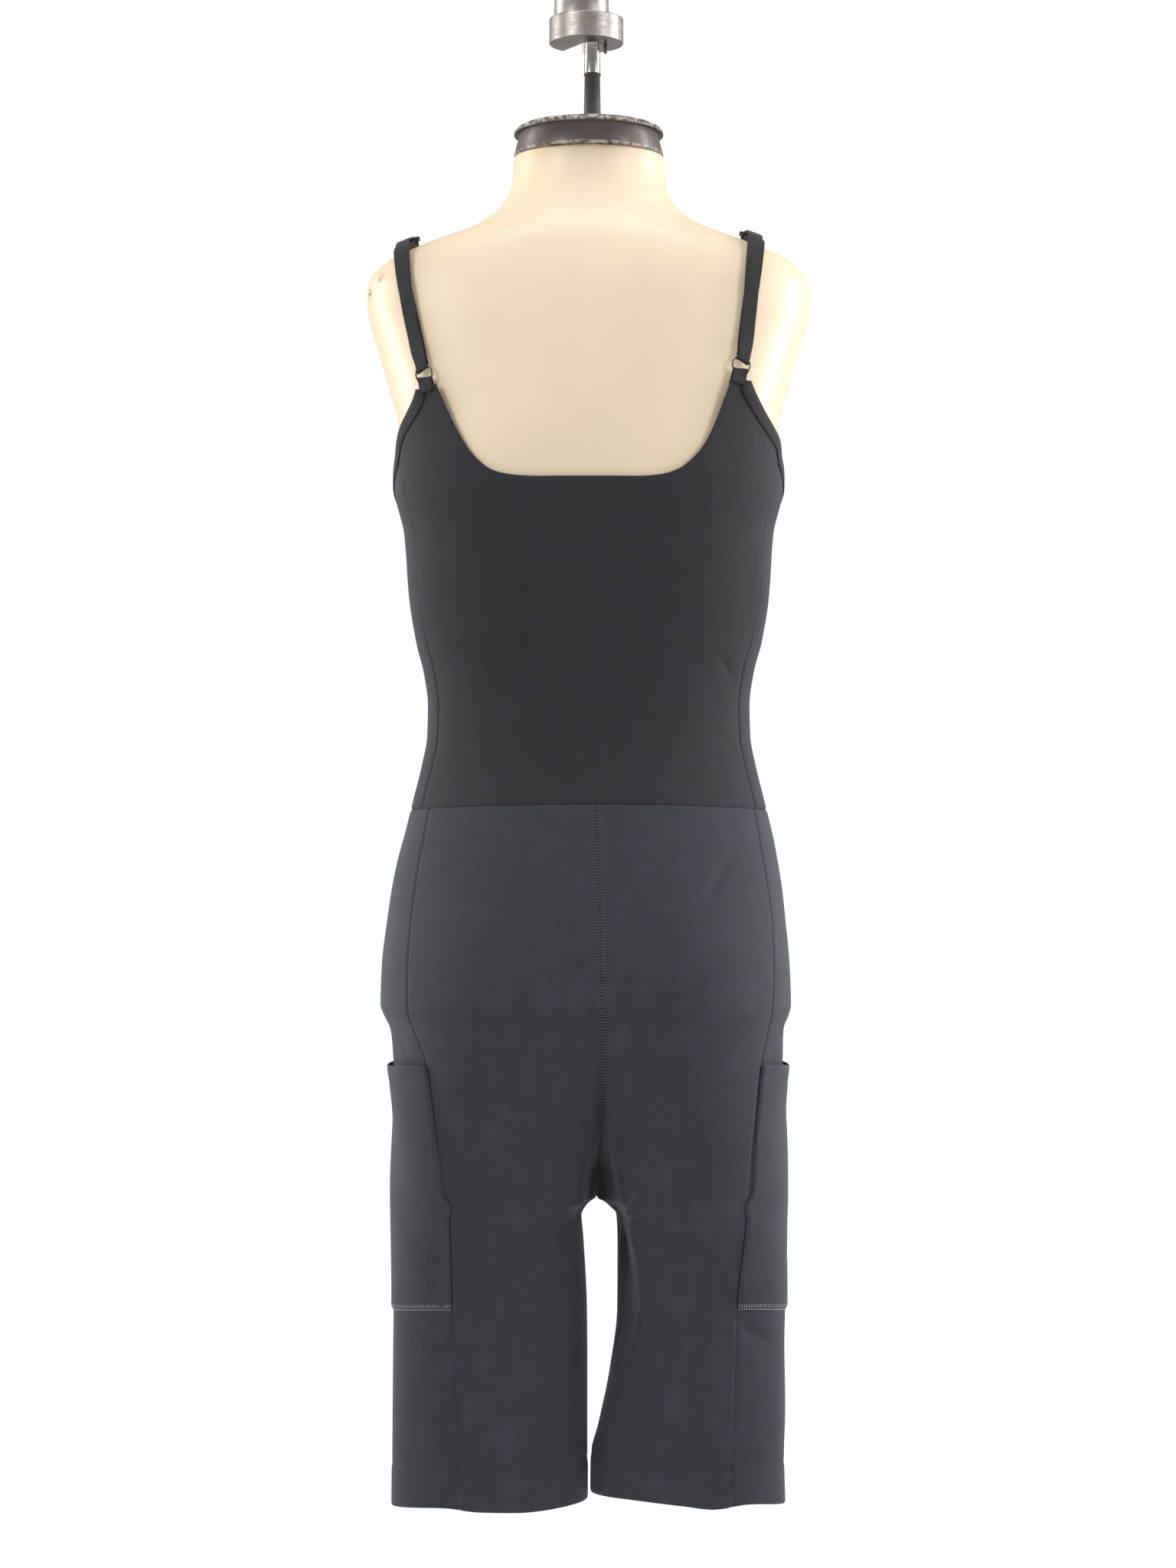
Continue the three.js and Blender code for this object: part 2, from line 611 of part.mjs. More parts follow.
// How deep the form's back or front lies at a distance out and a height.
function formDepth(out, height, isFront) {
  const { points, widest } = halfSection(1, height, true);
  const part = isFront ? points.slice(widest) : points.slice(0, widest + 1).reverse();
  const i = part.findIndex((p) => p[0] <= out);
  if (i <= 0) return 0;
  const [a, b] = [part[i - 1], part[i]];
  return Math.abs(a[1] + ((a[0] - out) / (a[0] - b[0])) * (b[1] - a[1]));
}

// A point standing off the form's back or front, and the form's own direction there.
function besideForm(side, out, height, isFront, stand) {
  const depth = formDepth(out, height, isFront);
  const acrossSlope = (formDepth(out + 1, height, isFront) - formDepth(out - 1, height, isFront)) / 2;
  const upSlope = (formDepth(out, height + 1, isFront) - formDepth(out, height - 1, isFront)) / 2;
  const facing = isFront ? 1 : -1;
  const normal = new THREE.Vector3(-side * acrossSlope, facing, -upSlope).normalize();
  const middle = new THREE.Vector3(side * out, facing * depth, height).addScaledVector(normal, stand);
  return { middle, normal };
}

// A ribbon along a route. Each stop has its middle and width, and either the direction across
// the ribbon or the normal of what it lies on.
function ribbon(stops) {
  const middles = stops.map((stop) => stop.middle);
  const last = stops.length - 1;
  return wall(steps(last), [-0.5, 0.5], (u, v, layer) => {
    const i = Math.round(u * last);
    const { middle, width, across: given, normal } = stops[i];
    const along = middles[Math.min(i + 1, last)].clone().sub(middles[Math.max(i - 1, 0)]).normalize();
    const across = given ? given.clone() : new THREE.Vector3().crossVectors(along, normal);
    if (across.x < 0) across.negate();
    across.addScaledVector(along, -across.dot(along)).normalize();
    const face = new THREE.Vector3().crossVectors(across, along).normalize();
    const lift = (layer ? -0.5 : 0.5) * strapWall;
    return middle.clone().addScaledVector(across, v * width).addScaledVector(face, lift);
  });
}

// The stretch of each strap from its ring to the shoulder: where it runs, how far its outer
// layer stands off the form, and how far the under layer does.
const strapBack = {
  // height, out, outer, under
  left: [[953, 135.8, 6.2, 3.6], [969, 139.9, 5, 2.7], [988, 144, 5, 2.6], [1008, 147.4, 5, 2.6],
    [1030, 149, 6, 3.2], [1040, 149.4, 8.6, 5]],
  right: [[959, 124.9, 6.2, 3.6], [975, 127.3, 5, 2.7], [994, 129.4, 5, 2.6], [1014, 131, 5, 2.6],
    [1036, 132.8, 6, 3.2], [1045, 133.4, 9, 5.2]],
};
const strapCrown = {
  // out, depth, height
  left: [[149.4, -24, 1053.6], [149.2, -13, 1055.6]],
  right: [[134, -24, 1058], [134, -13, 1060]],
};
const strapDown = {
  left: [[148.6, 18, 1054.4], [148, 32, 1050.4], [147, 43, 1044]],
  right: [[133.6, 18, 1058.8], [133.2, 33, 1055.2], [133, 45, 1049.6]],
};
const strapFront = {
  // height, out, stand
  left: [[1026, 145.5, 5], [1008, 143.6, 4.2], [986, 139.6, 4], [964, 134.6, 4.4], [946, 130.4, 6.4]],
  right: [[1030, 133, 5], [1010, 133.4, 4.2], [986, 132.2, 4], [964, 129.6, 4.4], [946, 127.6, 6.4]],
};
const strapEnd = [[932, 126.6], [921, 126], [909, 125.6]];
const ringAt = { left: [130.4, 934.3], right: [120.8, 940.3] };
const sliderAt = { left: [149, 0, 1056.5], right: [133.8, 0, 1060.9] };
const shoulderTilt = 0.28;
const ringStand = 6.2;
const loopGap = 1.5;
const loopWidth = 11;

// The ring's own directions: face points out from the back of the form.
function ringFrame(side) {
  const [out, height] = ringAt[nameOf(side)];
  const { middle: centre, normal: face } = besideForm(side, out, height, false, ringStand);
  const up = new THREE.Vector3(side * 0.26, 0, 1);
  up.addScaledVector(face, -up.dot(face)).normalize();
  const across = new THREE.Vector3().crossVectors(up, face).normalize();
  return { centre, face, up, across };
}

// A loop of ribbon through the ring, round its upper (+1) or lower (-1) side, from its inner
// layer to its outer one.
function ringLoop(side, direction) {
  const { centre, face, up } = ringFrame(side);
  const turnHeight = 4.5;
  const at = (rise, stand) =>
    centre.clone().addScaledVector(up, direction * rise).addScaledVector(face, stand);
  const turn = steps(6, 0, Math.PI).map((angle) =>
    at(turnHeight - loopGap * Math.sin(angle), -loopGap * Math.cos(angle)));
  return [at(ringRadius + 2.2, -loopGap), ...turn, at(ringRadius + 2.2, loopGap)];
}

function strap(side) {
  const name = nameOf(side);
  const { across: ringAcross } = ringFrame(side);
  const place = (out, depth, height) => new THREE.Vector3(side * out, depth, height);
  const slider = place(...sliderAt[name]);
  const crownNormal = new THREE.Vector3(side * shoulderTilt, 0, 1).normalize();
  const stops = [];
  const onCrown = (middle) => stops.push({ middle, width: strapWidth, normal: crownNormal });
  const onForm = (out, height, isFront, stand) =>
    stops.push({ ...besideForm(side, out, height, isFront, stand), width: strapWidth });
  // The sewn end lies under the slider, then the under layer runs down to the ring.
  onCrown(slider.clone().add(place(1.2, -1, -4.4)));
  onCrown(slider.clone().add(place(1.8, -10, -4.6)));
  onCrown(place(...strapCrown[name][0]).add(place(2.2, 1.5, -3.4)));
  for (const [height, out, , under] of [...strapBack[name]].reverse()) {
    onForm(out + 3.2 * smoothstep(height, 975, 1040), height, false, under);
  }
  for (const middle of ringLoop(side, 1)) stops.push({ middle, width: loopWidth, across: ringAcross });
  for (const [height, out, outer] of strapBack[name]) onForm(out, height, false, outer);
  for (const row of strapCrown[name]) onCrown(place(...row));
  // Through the slider: under its first bar, over the middle one and under the last.
  const weave = [[-8, -1.9], [-6.3, -1.9], [-5.3, -1.7], [-3.2, 0], [-1, 1.8], [0, 1.9]];
  const back = weave.slice(0, -1).reverse().map(([depth, lift]) => [-depth, lift]);
  for (const [depth, lift] of [...weave, ...back]) {
    onCrown(slider.clone().add(place(0, depth, 0)).addScaledVector(crownNormal, lift));
  }
  for (const row of strapDown[name]) onCrown(place(...row));
  for (const [height, out, stand] of strapFront[name]) onForm(out, height, true, stand);
  const endLift = 3 * seamGap + bindingWall + strapWall / 2;
  for (const [height, out] of strapEnd) {
    const share = shareAtOut(side, height, out, true);
    const middle = clothPoint(side * share, height, endLift, side);
    stops.push({ middle, width: strapWidth, normal: besideForm(side, out, height, true, 0).normal });
  }
  return ribbon(stops);
}

// The short tab that ties each back strap point to its ring: behind the cloth, round the ring
// and down over the cloth and the bindings.
function ringTab(side) {
  const { across, face, up, centre } = ringFrame(side);
  const stops = [];
  const add = (middle) => stops.push({ middle, width: loopWidth, across });
  const down = (drop, stand) => centre.clone().addScaledVector(up, -drop).addScaledVector(face, stand);
  add(down(17, -2.9));
  for (const middle of ringLoop(side, -1)) add(middle);
  for (const [drop, stand] of [[14, 3.9], [22, 4.4]]) add(down(drop, stand));
  return ribbon(stops);
}

const wasm = await Module();
wasm.setup();

function manifoldOf(geometry) {
  const bare = geometry.clone();
  bare.deleteAttribute("normal");
  bare.deleteAttribute("uv");
  const merged = mergeVertices(bare, 1e-4);
  return new wasm.Manifold(
    new wasm.Mesh({
      numProp: 3,
      vertProperties: new Float32Array(merged.attributes.position.array),
      triVerts: new Uint32Array(merged.index.array),
    }),
  );
}

function geometryOf(solid) {
  const { vertProperties, triVerts } = solid.getMesh();
  const geometry = new THREE.BufferGeometry();
  geometry.setAttribute("position", new THREE.BufferAttribute(new Float32Array(vertProperties), 3));
  geometry.setIndex(new THREE.BufferAttribute(new Uint32Array(triVerts), 1));
  geometry.computeVertexNormals();
  return geometry;
}

// The slider: a flat frame with two slots and a middle bar.
function slider(side) {
  const [length, breadth, thick, bar] = [14.4, 16.4, 1.5, 1.4];
  const frame = new THREE.BoxGeometry(breadth, length, thick);
  const slotLength = (length - 3 * bar) / 2;
  let solid = manifoldOf(frame);
  for (const sign of [-1, 1]) {
    const slot = new THREE.BoxGeometry(strapWidth + 1, slotLength, thick * 3);
    slot.translate(0, (sign * (slotLength + bar)) / 2, 0);
    solid = solid.subtract(manifoldOf(slot));
  }
  const geometry = geometryOf(solid);
  const [out, depth, height] = sliderAt[nameOf(side)];
  geometry.rotateY(side * Math.atan(shoulderTilt));
  geometry.translate(side * out, depth, height);
  return geometry;
}

function ring(side) {
  const { centre, face } = ringFrame(side);
  const geometry = new THREE.TorusGeometry(ringRadius, ringWire, 6, 20);
  geometry.lookAt(face);
  geometry.translate(centre.x, centre.y, centre.z);
  return geometry;
}

// The dress form: whole and closed, from its flat lower end to its neck.
const formLevels = [
  // height, inset of the rounded lower edge
  [formBottom, 8.4], [407, 3.2], [413, 0], [436, 0], [462, 0], [488, 0], [514, 0], [540, 0], [570, 0],
  [605, 0], [640, 0], [672, 0], [705, 0], [740, 0], [775, 0], [810, 0], [845, 0], [880, 0], [920, 0],
  [960, 0], [990, 0], [1008, 0], [1020, 0], [1030, 0], [1038, 0], [1045, 0], [1053, 0], [1062, 0],
  [1073, 0], [1088, 0], [neckTop, 0],
];
function dressForm() {
  const quarter = 10;
  const rings = formLevels.map(([height, inset]) => {
    const level = Math.max(height, 413);
    const ring = [];
    const corner = (side, share) => {
      const { points, run, widest } = halfSection(side, level, true);
      const total = run[run.length - 1];
      const along = share <= 1 ? share * run[widest] : run[widest] + (share - 1) * (total - run[widest]);
      const [x, y] = pointAlong(points, run, along);
      const shrink = 1 - inset / Math.hypot(x, y);
      return new THREE.Vector3(side * x * shrink, y * shrink, height);
    };
    for (let i = 0; i < 2 * quarter; i++) ring.push(corner(1, i / quarter));
    for (let i = 2 * quarter; i > 0; i--) ring.push(corner(-1, i / quarter));
    return ring;
  });
  return loft(rings);
}

// Turned pieces stand on the axis of a lathe, drawn as (radius, height) rows.
function turned(rows, segments, x, y = 0) {
  const geometry = new THREE.LatheGeometry(rows.map(([r, h]) => new THREE.Vector2(r, h)), segments);
  geometry.rotateX(Math.PI / 2);
  geometry.translate(x, y, 0);
  return geometry;
}

function neckCap() {
  return turned(
    [[0, capBase], [capRadius, capBase], [capRadius, capTop - 4], [capRadius - 1.2, capTop - 1.2],
      [capRadius - 4, capTop], [0, capTop]],
    40,
    0,
    -2,
  );
}

// The collar: a thick ring with a slot at its far left, into which the rod was slid.
function collar() {
  const body = turned(
    [[0, collarBase], [collarRadius - 1, collarBase], [collarRadius, collarBase + 1],
      [collarRadius, collarTop - 1], [collarRadius - 1, collarTop], [0, collarTop]],
    40,
    collarX,
  );
  const slotWidth = 2 * rodRadius + 2;
  const bore = new THREE.CylinderGeometry(rodRadius + 1.2, rodRadius + 1.2, 60, 28);
  bore.rotateX(Math.PI / 2);
  bore.translate(rodX, 0, collarBase + 10);
  const slot = new THREE.BoxGeometry(slotWidth, 50, 60);
  slot.translate(0, -25, 0);
  slot.rotateZ(Math.PI + 0.55);
  slot.translate(rodX, 0, collarBase + 10);
  return geometryOf(manifoldOf(body).subtract(manifoldOf(bore)).subtract(manifoldOf(slot)));
}

addMesh("form_torso", dressForm(), finishes.form);
addMesh("neck_cap", neckCap(), finishes.cap);
addMesh(
  "rod_sleeve",
  turned(
    [[0, capTop + seamGap], [rodRadius, capTop + seamGap], [rodRadius, sleeveTop], [0, sleeveTop]],
    24,
    rodX,
  ),
  finishes.black,
);
addMesh(
  "hanging_rod",
  turned(
    [[0, sleeveTop + seamGap], [rodRadius - 0.5, sleeveTop + seamGap], [rodRadius - 0.5, collarTop - 0.4],
      [0, collarTop - 0.4]],
    24,
    rodX,
  ),
  finishes.steel,
);
addMesh("rod_collar", collar(), finishes.steel);
addMesh(
  "collar_pin",
  turned(
    [[0, collarBase - 8], [1.4, collarBase - 8], [1.4, collarBase - seamGap], [0, collarBase - seamGap]],
    10,
    14,
    -3,
  ),
  finishes.black,
);
addMesh(
  "hanging_stem",
  turned(
    [[0, collarTop + seamGap], [stemRadius, collarTop + seamGap], [stemRadius, stemTop - 1],
      [stemRadius - 1, stemTop], [0, stemTop]],
    32,
    stemX,
  ),
  finishes.steel,
);

addMesh("bodice_back", bodice("back"), finishes.bodice);
addMesh("bodice_front", bodice("front"), finishes.bodice);
for (const side of [-1, 1]) {
  const name = nameOf(side);
  addMesh("leg_back_" + name, legPanel(side, "back", 9), finishes.shorts);
  addMesh("leg_front_" + name, legPanel(side, "front", 8), finishes.shorts);
  addMesh("side_panel_" + name, sidePanel(side, 5), finishes.shorts);
  addMesh("pocket_" + name, pocket(side, 5), finishes.shorts);
  addMesh("armhole_binding_" + name, binding(side), finishes.bodice);
  addMesh("strap_" + name, strap(side), finishes.bodice);
  addMesh("ring_tab_" + name, ringTab(side), finishes.bodice);
  addMesh("strap_slider_" + name, slider(side), finishes.black);
  addMesh("strap_ring_" + name, ring(side), finishes.wire);
}

group.position.z = -stemTop;
group.updateMatrixWorld(true);

export default group;
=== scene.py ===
import json
import math
import random

import bmesh
import bpy
import numpy as np
from mathutils import Matrix, Vector
from mathutils.geometry import delaunay_2d_cdt

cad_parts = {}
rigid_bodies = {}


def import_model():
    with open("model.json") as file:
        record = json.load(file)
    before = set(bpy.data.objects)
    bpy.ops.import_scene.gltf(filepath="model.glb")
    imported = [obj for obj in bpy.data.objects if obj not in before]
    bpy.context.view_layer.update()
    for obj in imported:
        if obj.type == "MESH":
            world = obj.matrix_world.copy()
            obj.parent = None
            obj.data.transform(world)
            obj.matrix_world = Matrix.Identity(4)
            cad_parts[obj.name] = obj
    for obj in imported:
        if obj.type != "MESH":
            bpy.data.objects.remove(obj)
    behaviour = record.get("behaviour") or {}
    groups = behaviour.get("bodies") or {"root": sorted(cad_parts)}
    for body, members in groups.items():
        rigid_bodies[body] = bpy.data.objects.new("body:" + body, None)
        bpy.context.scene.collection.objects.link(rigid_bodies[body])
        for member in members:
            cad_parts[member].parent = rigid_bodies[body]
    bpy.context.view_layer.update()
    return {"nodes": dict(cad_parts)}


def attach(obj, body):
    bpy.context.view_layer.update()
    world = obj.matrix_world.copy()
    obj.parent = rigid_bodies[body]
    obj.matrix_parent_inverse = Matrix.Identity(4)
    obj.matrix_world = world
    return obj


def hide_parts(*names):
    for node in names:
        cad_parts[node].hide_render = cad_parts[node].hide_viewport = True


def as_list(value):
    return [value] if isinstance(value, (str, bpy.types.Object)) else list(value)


for thing in list(bpy.data.objects):
    bpy.data.objects.remove(thing)  # the startup file's cube, light and camera
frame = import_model()
print("frame loaded:", len(frame["nodes"]), "nodes")

# Heights are in millimetres above the leg hems, as the garment is measured; the frame's origin
# is the top of the stem, stemTop above them. "out" is the distance from the middle of the body.
mm = 0.001
stemTop = 1275
waistHeight = 581
crotchHeight = 258
pocketBottom = 163
pocketTop = 367
hemStitch = 34
clothWall = 1.6
formGap = 1.8
bindingWidth = 10
seamGap = 0.3
seamMeet = -0.1  # the finished panels meet, where the plain solids keep a gap
sideNames = {-1: "left", 1: "right"}


def smoothStep(value, low, high):
    t = np.clip((np.asarray(value, float) - low) / (high - low), 0, 1)
    return t * t * (3 - 2 * t)


def mix(a, b, t):
    return a + (b - a) * t


def tableOf(columns, rows):
    # looks a named column up at any height, on a curve that never overshoots its rows
    data = np.array(rows, float)
    at = data[:, 0]
    tracks = {}
    for k, name in enumerate(columns.split()[1:]):
        value = data[:, k + 1]
        rise = np.diff(value) / np.diff(at)
        slope = np.empty(len(value))
        slope[0], slope[-1] = rise[0], rise[-1]
        for i in range(1, len(value) - 1):
            before, after = rise[i - 1], rise[i]
            slope[i] = 0 if before * after <= 0 else 2 * before * after / (before + after)
        tracks[name] = (value, slope)

    def look(name, heights):
        h = np.clip(np.asarray(heights, float), at[0], at[-1])
        i = np.clip(np.searchsorted(at, h, side="left") - 1, 0, len(at) - 2)
        span = at[i + 1] - at[i]
        t = (h - at[i]) / span
        value, slope = tracks[name]
        start = value[i] * (1 + 2 * t) * (1 - t) ** 2 + value[i + 1] * t * t * (3 - 2 * t)
        lean = slope[i] * t * (1 - t) ** 2 - slope[i + 1] * t * t * (1 - t)
        return start + span * lean

    return look


bodyAt = tableOf("height half back front mid crest backBlunt frontBlunt shift", [
    [0, 164.5, 46, 39, -5, 82, 2.3, 2.3, 0],
    [60, 164, 48, 41, -5, 82, 2.3, 2.3, 0],
    [120, 163.8, 52, 44, -5, 81, 2.3, 2.3, 0],
    [200, 163.4, 66, 56, -4, 78, 2.3, 2.3, 0],
    [258, 163.6, 82, 70, -3, 74, 2.3, 2.3, 0],
    [313, 163.6, 99, 82, -2, 68, 2.35, 2.3, 0],
    [360, 162.6, 113, 92, 0, 60, 2.4, 2.3, -0.5],
    [390, 163, 121, 98, 0, 54, 2.4, 2.3, -1],
    [400, 164, 125, 101, 0, 52, 2.4, 2.3, -1.5],
    [410, 168.3, 129, 104, 0, 50, 2.4, 2.3, -2],
    [419, 171, 130, 105, 0, 48, 2.4, 2.3, -2.5],
    [451, 170, 129, 107, 0, 42, 2.4, 2.3, -2.5],
    [490, 166, 123, 109, 0, 32, 2.35, 2.3, -2],
    [515, 162.9, 117, 109, 0, 26, 2.3, 2.3, -1.5],
    [537, 159, 111, 108, 0, 20, 2.3, 2.3, -1],
    [566, 152.3, 102, 105, 0, 12, 2.25, 2.3, 0],
    [592, 145.9, 94, 102, 0, 6, 2.25, 2.3, 0],
    [618, 139.5, 87, 99, 0, 0, 2.25, 2.3, 0],
    [643, 135, 83, 97, 0, 0, 2.25, 2.35, 0],
    [669, 134.4, 82, 98, 0, 0, 2.3, 2.4, 0],
    [694, 137.6, 84, 103, 0, 0, 2.35, 2.5, 0],
    [720, 144, 88, 111, 0, 0, 2.4, 2.6, 0],
    [758, 150, 94, 127, 0, 0, 2.5, 2.8, 0],
    [810, 153.9, 101, 140, 0, 0, 2.6, 2.9, 0],
    [848, 161.8, 105, 136, 0, 0, 2.6, 2.8, 0],
    [899, 162, 106, 122, 0, 0, 2.6, 2.6, 0],
    [930, 169.5, 105, 110, 0, 0, 2.6, 2.6, 0],
    [970, 181, 102, 94, 0, 0, 2.6, 2.6, 0],
    [995, 187.6, 99, 86, 0, 0, 2.6, 2.6, 0],
    [1014, 188.3, 96, 82, 0, 0, 2.6, 2.6, 0],
    [1027, 182, 93, 79, 0, 0, 2.6, 2.6, 0],
    [1037, 169.7, 90, 77, 0, 0, 2.6, 2.6, 0],
    [1046, 150, 87, 75, 0, 0, 2.6, 2.6, 0],
    [1055, 127, 83, 73, 0, 0, 2.5, 2.5, 0],
    [1062, 108, 79, 71, 0, 0, 2.4, 2.4, 0],
    [1070, 93, 75, 69, 0, 0, 2.2, 2.2, 0],
    [1085, 76, 69, 67, 0, 0, 2.1, 2.1, 0],
    [1103, 68, 64, 65, 0, 0, 2, 2, 0],
    [1126, 65.5, 61, 65, 0, 0, 2, 2, 0],
])

# how the cloth turns in towards the middle seam and the inner legs
turnAt = tableOf("height backTurn frontTurn blunt seam left right", [
    [0, 90, 90, 2.3, 0, 1, 1.4],
    [45, 90, 90, 2.3, 0, 1, 2],
    [68, 90, 90, 2.3, 0, 1, 7.7],
    [118, 90, 90, 2.4, 0, 1, 18],
    [166, 90, 90, 2.5, 0, 1.4, 23.7],
    [225, 90, 90, 2.7, 3, 4.5, 24],
    [243, 90, 90, 2.8, 5, 6, 23],
    [252, 90, 90, 2.9, 6, 1.5, 16.5],
    [256, 90, 90, 3, 6.5, -3, 11.5],
    [258, 90, 90, 3, 6.5, -6.35, 6.65],
    [285, 78, 62, 3.2, 8.5, -8.35, 8.65],
    [313, 62, 40, 3.6, 10.2, -10.05, 10.35],
    [345, 42, 24, 3.6, 10.6, -10.45, 10.75],
    [385, 20, 10, 3.6, 10.8, -10.65, 10.95],
    [404, 6, 4, 3.6, 10.6, -10.45, 10.75],
    [443, 3, 3, 3.6, 9.6, -9.45, 9.75],
    [522, 3, 3, 3.6, 8.3, -8.15, 8.45],
    [581, 3, 3, 3.6, 5.8, -5.65, 5.95],
])

# the side panel's back seam: its distance out on each side
sideSeamAt = tableOf("height left right", [
    [0, 106.2, 117],
    [90, 109, 120],
    [170, 112.2, 122.3],
    [236, 113, 128.5],
    [322, 123.5, 134.8],
    [376, 131, 141.4],
    [400, 139.3, 147.5],
    [419, 144, 151.7],
    [447, 144.4, 153.2],
    [484, 143, 152.3],
    [519, 139.8, 147.6],
    [555, 135.2, 140.6],
    [581, 131.3, 136],
])

levelStep = 2
shareCount = 240  # stops round one half of a level: 0 the back middle, 1 the side, 2 the front middle
levelHeights = np.arange(0, 1127, levelStep, dtype=float)
shareStops = np.linspace(0, 2, shareCount + 1)


def strapStand(height):
    return 4 * smoothStep(height, 858, 928)


def superArc(reach, depth, blunt, angle):
    return reach * np.abs(np.sin(angle)) ** (2 / blunt), depth * np.abs(np.cos(angle)) ** (2 / blunt)


def halfSurface(side, isForm):
    # x, y and the level normal of one half, at every level and share
    bodyNames = "half back front mid crest backBlunt frontBlunt shift".split()
    body = {n: bodyAt(n, levelHeights) for n in bodyNames}
    turn = {n: turnAt(n, levelHeights) for n in "backTurn frontTurn blunt left right".split()}
    quarter = np.linspace(0, 1, 41)
    grids = {key: np.zeros((len(levelHeights), shareCount + 1)) for key in ("x", "y", "nx", "ny")}
    runs = np.zeros((len(levelHeights), 2))
    for i, height in enumerate(levelHeights):
        inset = clothWall + formGap if isForm else -float(strapStand(height))
        half = body["half"][i] - inset + side * body["shift"][i]
        mid = body["mid"][i]
        backDepth = body["back"][i] - inset + mid
        frontDepth = body["front"][i] - inset - mid
        crest = 0 if isForm else min(body["crest"][i], half * 0.5)
        # the middle seam's sideways lean fades out above the waist
        inner = 0 if isForm else turn[sideNames[side]][i] * float(1 - smoothStep(height, 583, 640))
        outline = []
        if crest > inner:
            end = math.radians(turn["backTurn"][i])
            reach = (crest - inner) / math.sin(end) ** (2 / turn["blunt"][i])
            x, y = superArc(reach, backDepth, turn["blunt"][i], quarter * end)
            outline.append(np.column_stack([crest - x, mid - y])[::-1][:-1])
        x, y = superArc(half - crest, backDepth, body["backBlunt"][i], quarter * math.pi / 2)
        outline.append(np.column_stack([crest + x, mid - y]))
        widest = sum(len(part) for part in outline) - 1
        x, y = superArc(half - crest, frontDepth, body["frontBlunt"][i], quarter * math.pi / 2)
        outline.append(np.column_stack([crest + x, mid + y])[::-1][1:])
        if crest > inner:
            end = math.radians(turn["frontTurn"][i])
            reach = (crest - inner) / math.sin(end) ** (2 / turn["blunt"][i])
            x, y = superArc(reach, frontDepth, turn["blunt"][i], quarter * end)
            outline.append(np.column_stack([crest - x, mid + y])[1:])
        points = np.vstack(outline)
        run = np.concatenate([[0], np.cumsum(np.hypot(*np.diff(points, axis=0).T))])
        runs[i] = run[widest], run[-1] - run[widest]
        along = np.where(
            shareStops <= 1, shareStops * run[widest], run[widest] + (shareStops - 1) * runs[i, 1]
        )
        at = lambda a: np.column_stack([np.interp(a, run, points[:, k]) for k in (0, 1)])
        here = at(along)
        tangent = at(np.minimum(along + 3, run[-1])) - at(np.maximum(along - 3, 0))
        tangent /= np.linalg.norm(tangent, axis=1)[:, None]
        grids["x"][i], grids["y"][i] = here.T
        grids["nx"][i], grids["ny"][i] = tangent[:, 1], -tangent[:, 0]
    return {**grids, "runs": runs}


clothSurface = {side: halfSurface(side, False) for side in (-1, 1)}
formSurface = {side: halfSurface(side, True) for side in (-1, 1)}
print("surfaces worked out:", len(levelHeights), "levels")


def sampleGrid(grid, share, height):
    row = np.clip(height / levelStep, 0, len(levelHeights) - 1.001)
    column = np.clip(share * shareCount / 2, 0, shareCount - 0.001)
    i, j = row.astype(int), column.astype(int)
    down, across = row - i, column - j
    near = grid[i, j] * (1 - across) + grid[i, j + 1] * across
    far = grid[i + 1, j] * (1 - across) + grid[i + 1, j + 1] * across
    return near * (1 - down) + far * down


def runAt(side, height, isFront):
    # millimetres round from the side to the middle at a height
    return np.interp(height, levelHeights, clothSurface[side]["runs"][:, 1 if isFront else 0])


def shareAtOut(side, height, out, isFront):
    height, out = np.broadcast_arrays(np.asarray(height, float), np.asarray(out, float))
    row = np.clip(height / levelStep, 0, len(levelHeights) - 1.001)
    found = np.empty(height.shape)
    grid = clothSurface[side]["x"]
    middle = shareCount // 2
    for index in np.ndindex(height.shape):
        i, t = int(row[index]), row[index] - int(row[index])
        xs = grid[i] * (1 - t) + grid[i + 1] * t
        if isFront:
            found[index] = np.interp(out[index], xs[middle:][::-1], shareStops[middle:][::-1])
        else:
            found[index] = np.interp(out[index], xs[: middle + 1], shareStops[: middle + 1])
    return found


def alongOf(side, share, height):
    # millimetres round the cloth from the middle of the back, and back again to a share
    back, front = runAt(side, height, False), runAt(side, height, True)
    return np.where(share <= 1, share * back, back + (share - 1) * front)


def shareOf(side, along, height):
    back, front = runAt(side, height, False), runAt(side, height, True)
    return np.where(along <= back, along / back, 1 + (along - back) / front)


def shareTable(side, outAt, isFront):
    shares = shareAtOut(side, levelHeights, outAt(levelHeights), isFront)
    return lambda height: np.interp(height, levelHeights, shares)


def seamOut(side):
    return lambda h: sideSeamAt(sideNames[side], h) + side * bodyAt("shift", h)


def bodiceSeamOut(h):
    return bodyAt("half", h) + strapStand(h) - mix(10.5, 2.4, smoothStep(h, 846, 880))


backSeam = {side: shareTable(side, seamOut(side), False) for side in (-1, 1)}
frontSeam = {side: shareTable(side, seamOut(side), True) for side in (-1, 1)}
bodiceSeam = {side: shareTable(side, bodiceSeamOut, False) for side in (-1, 1)}

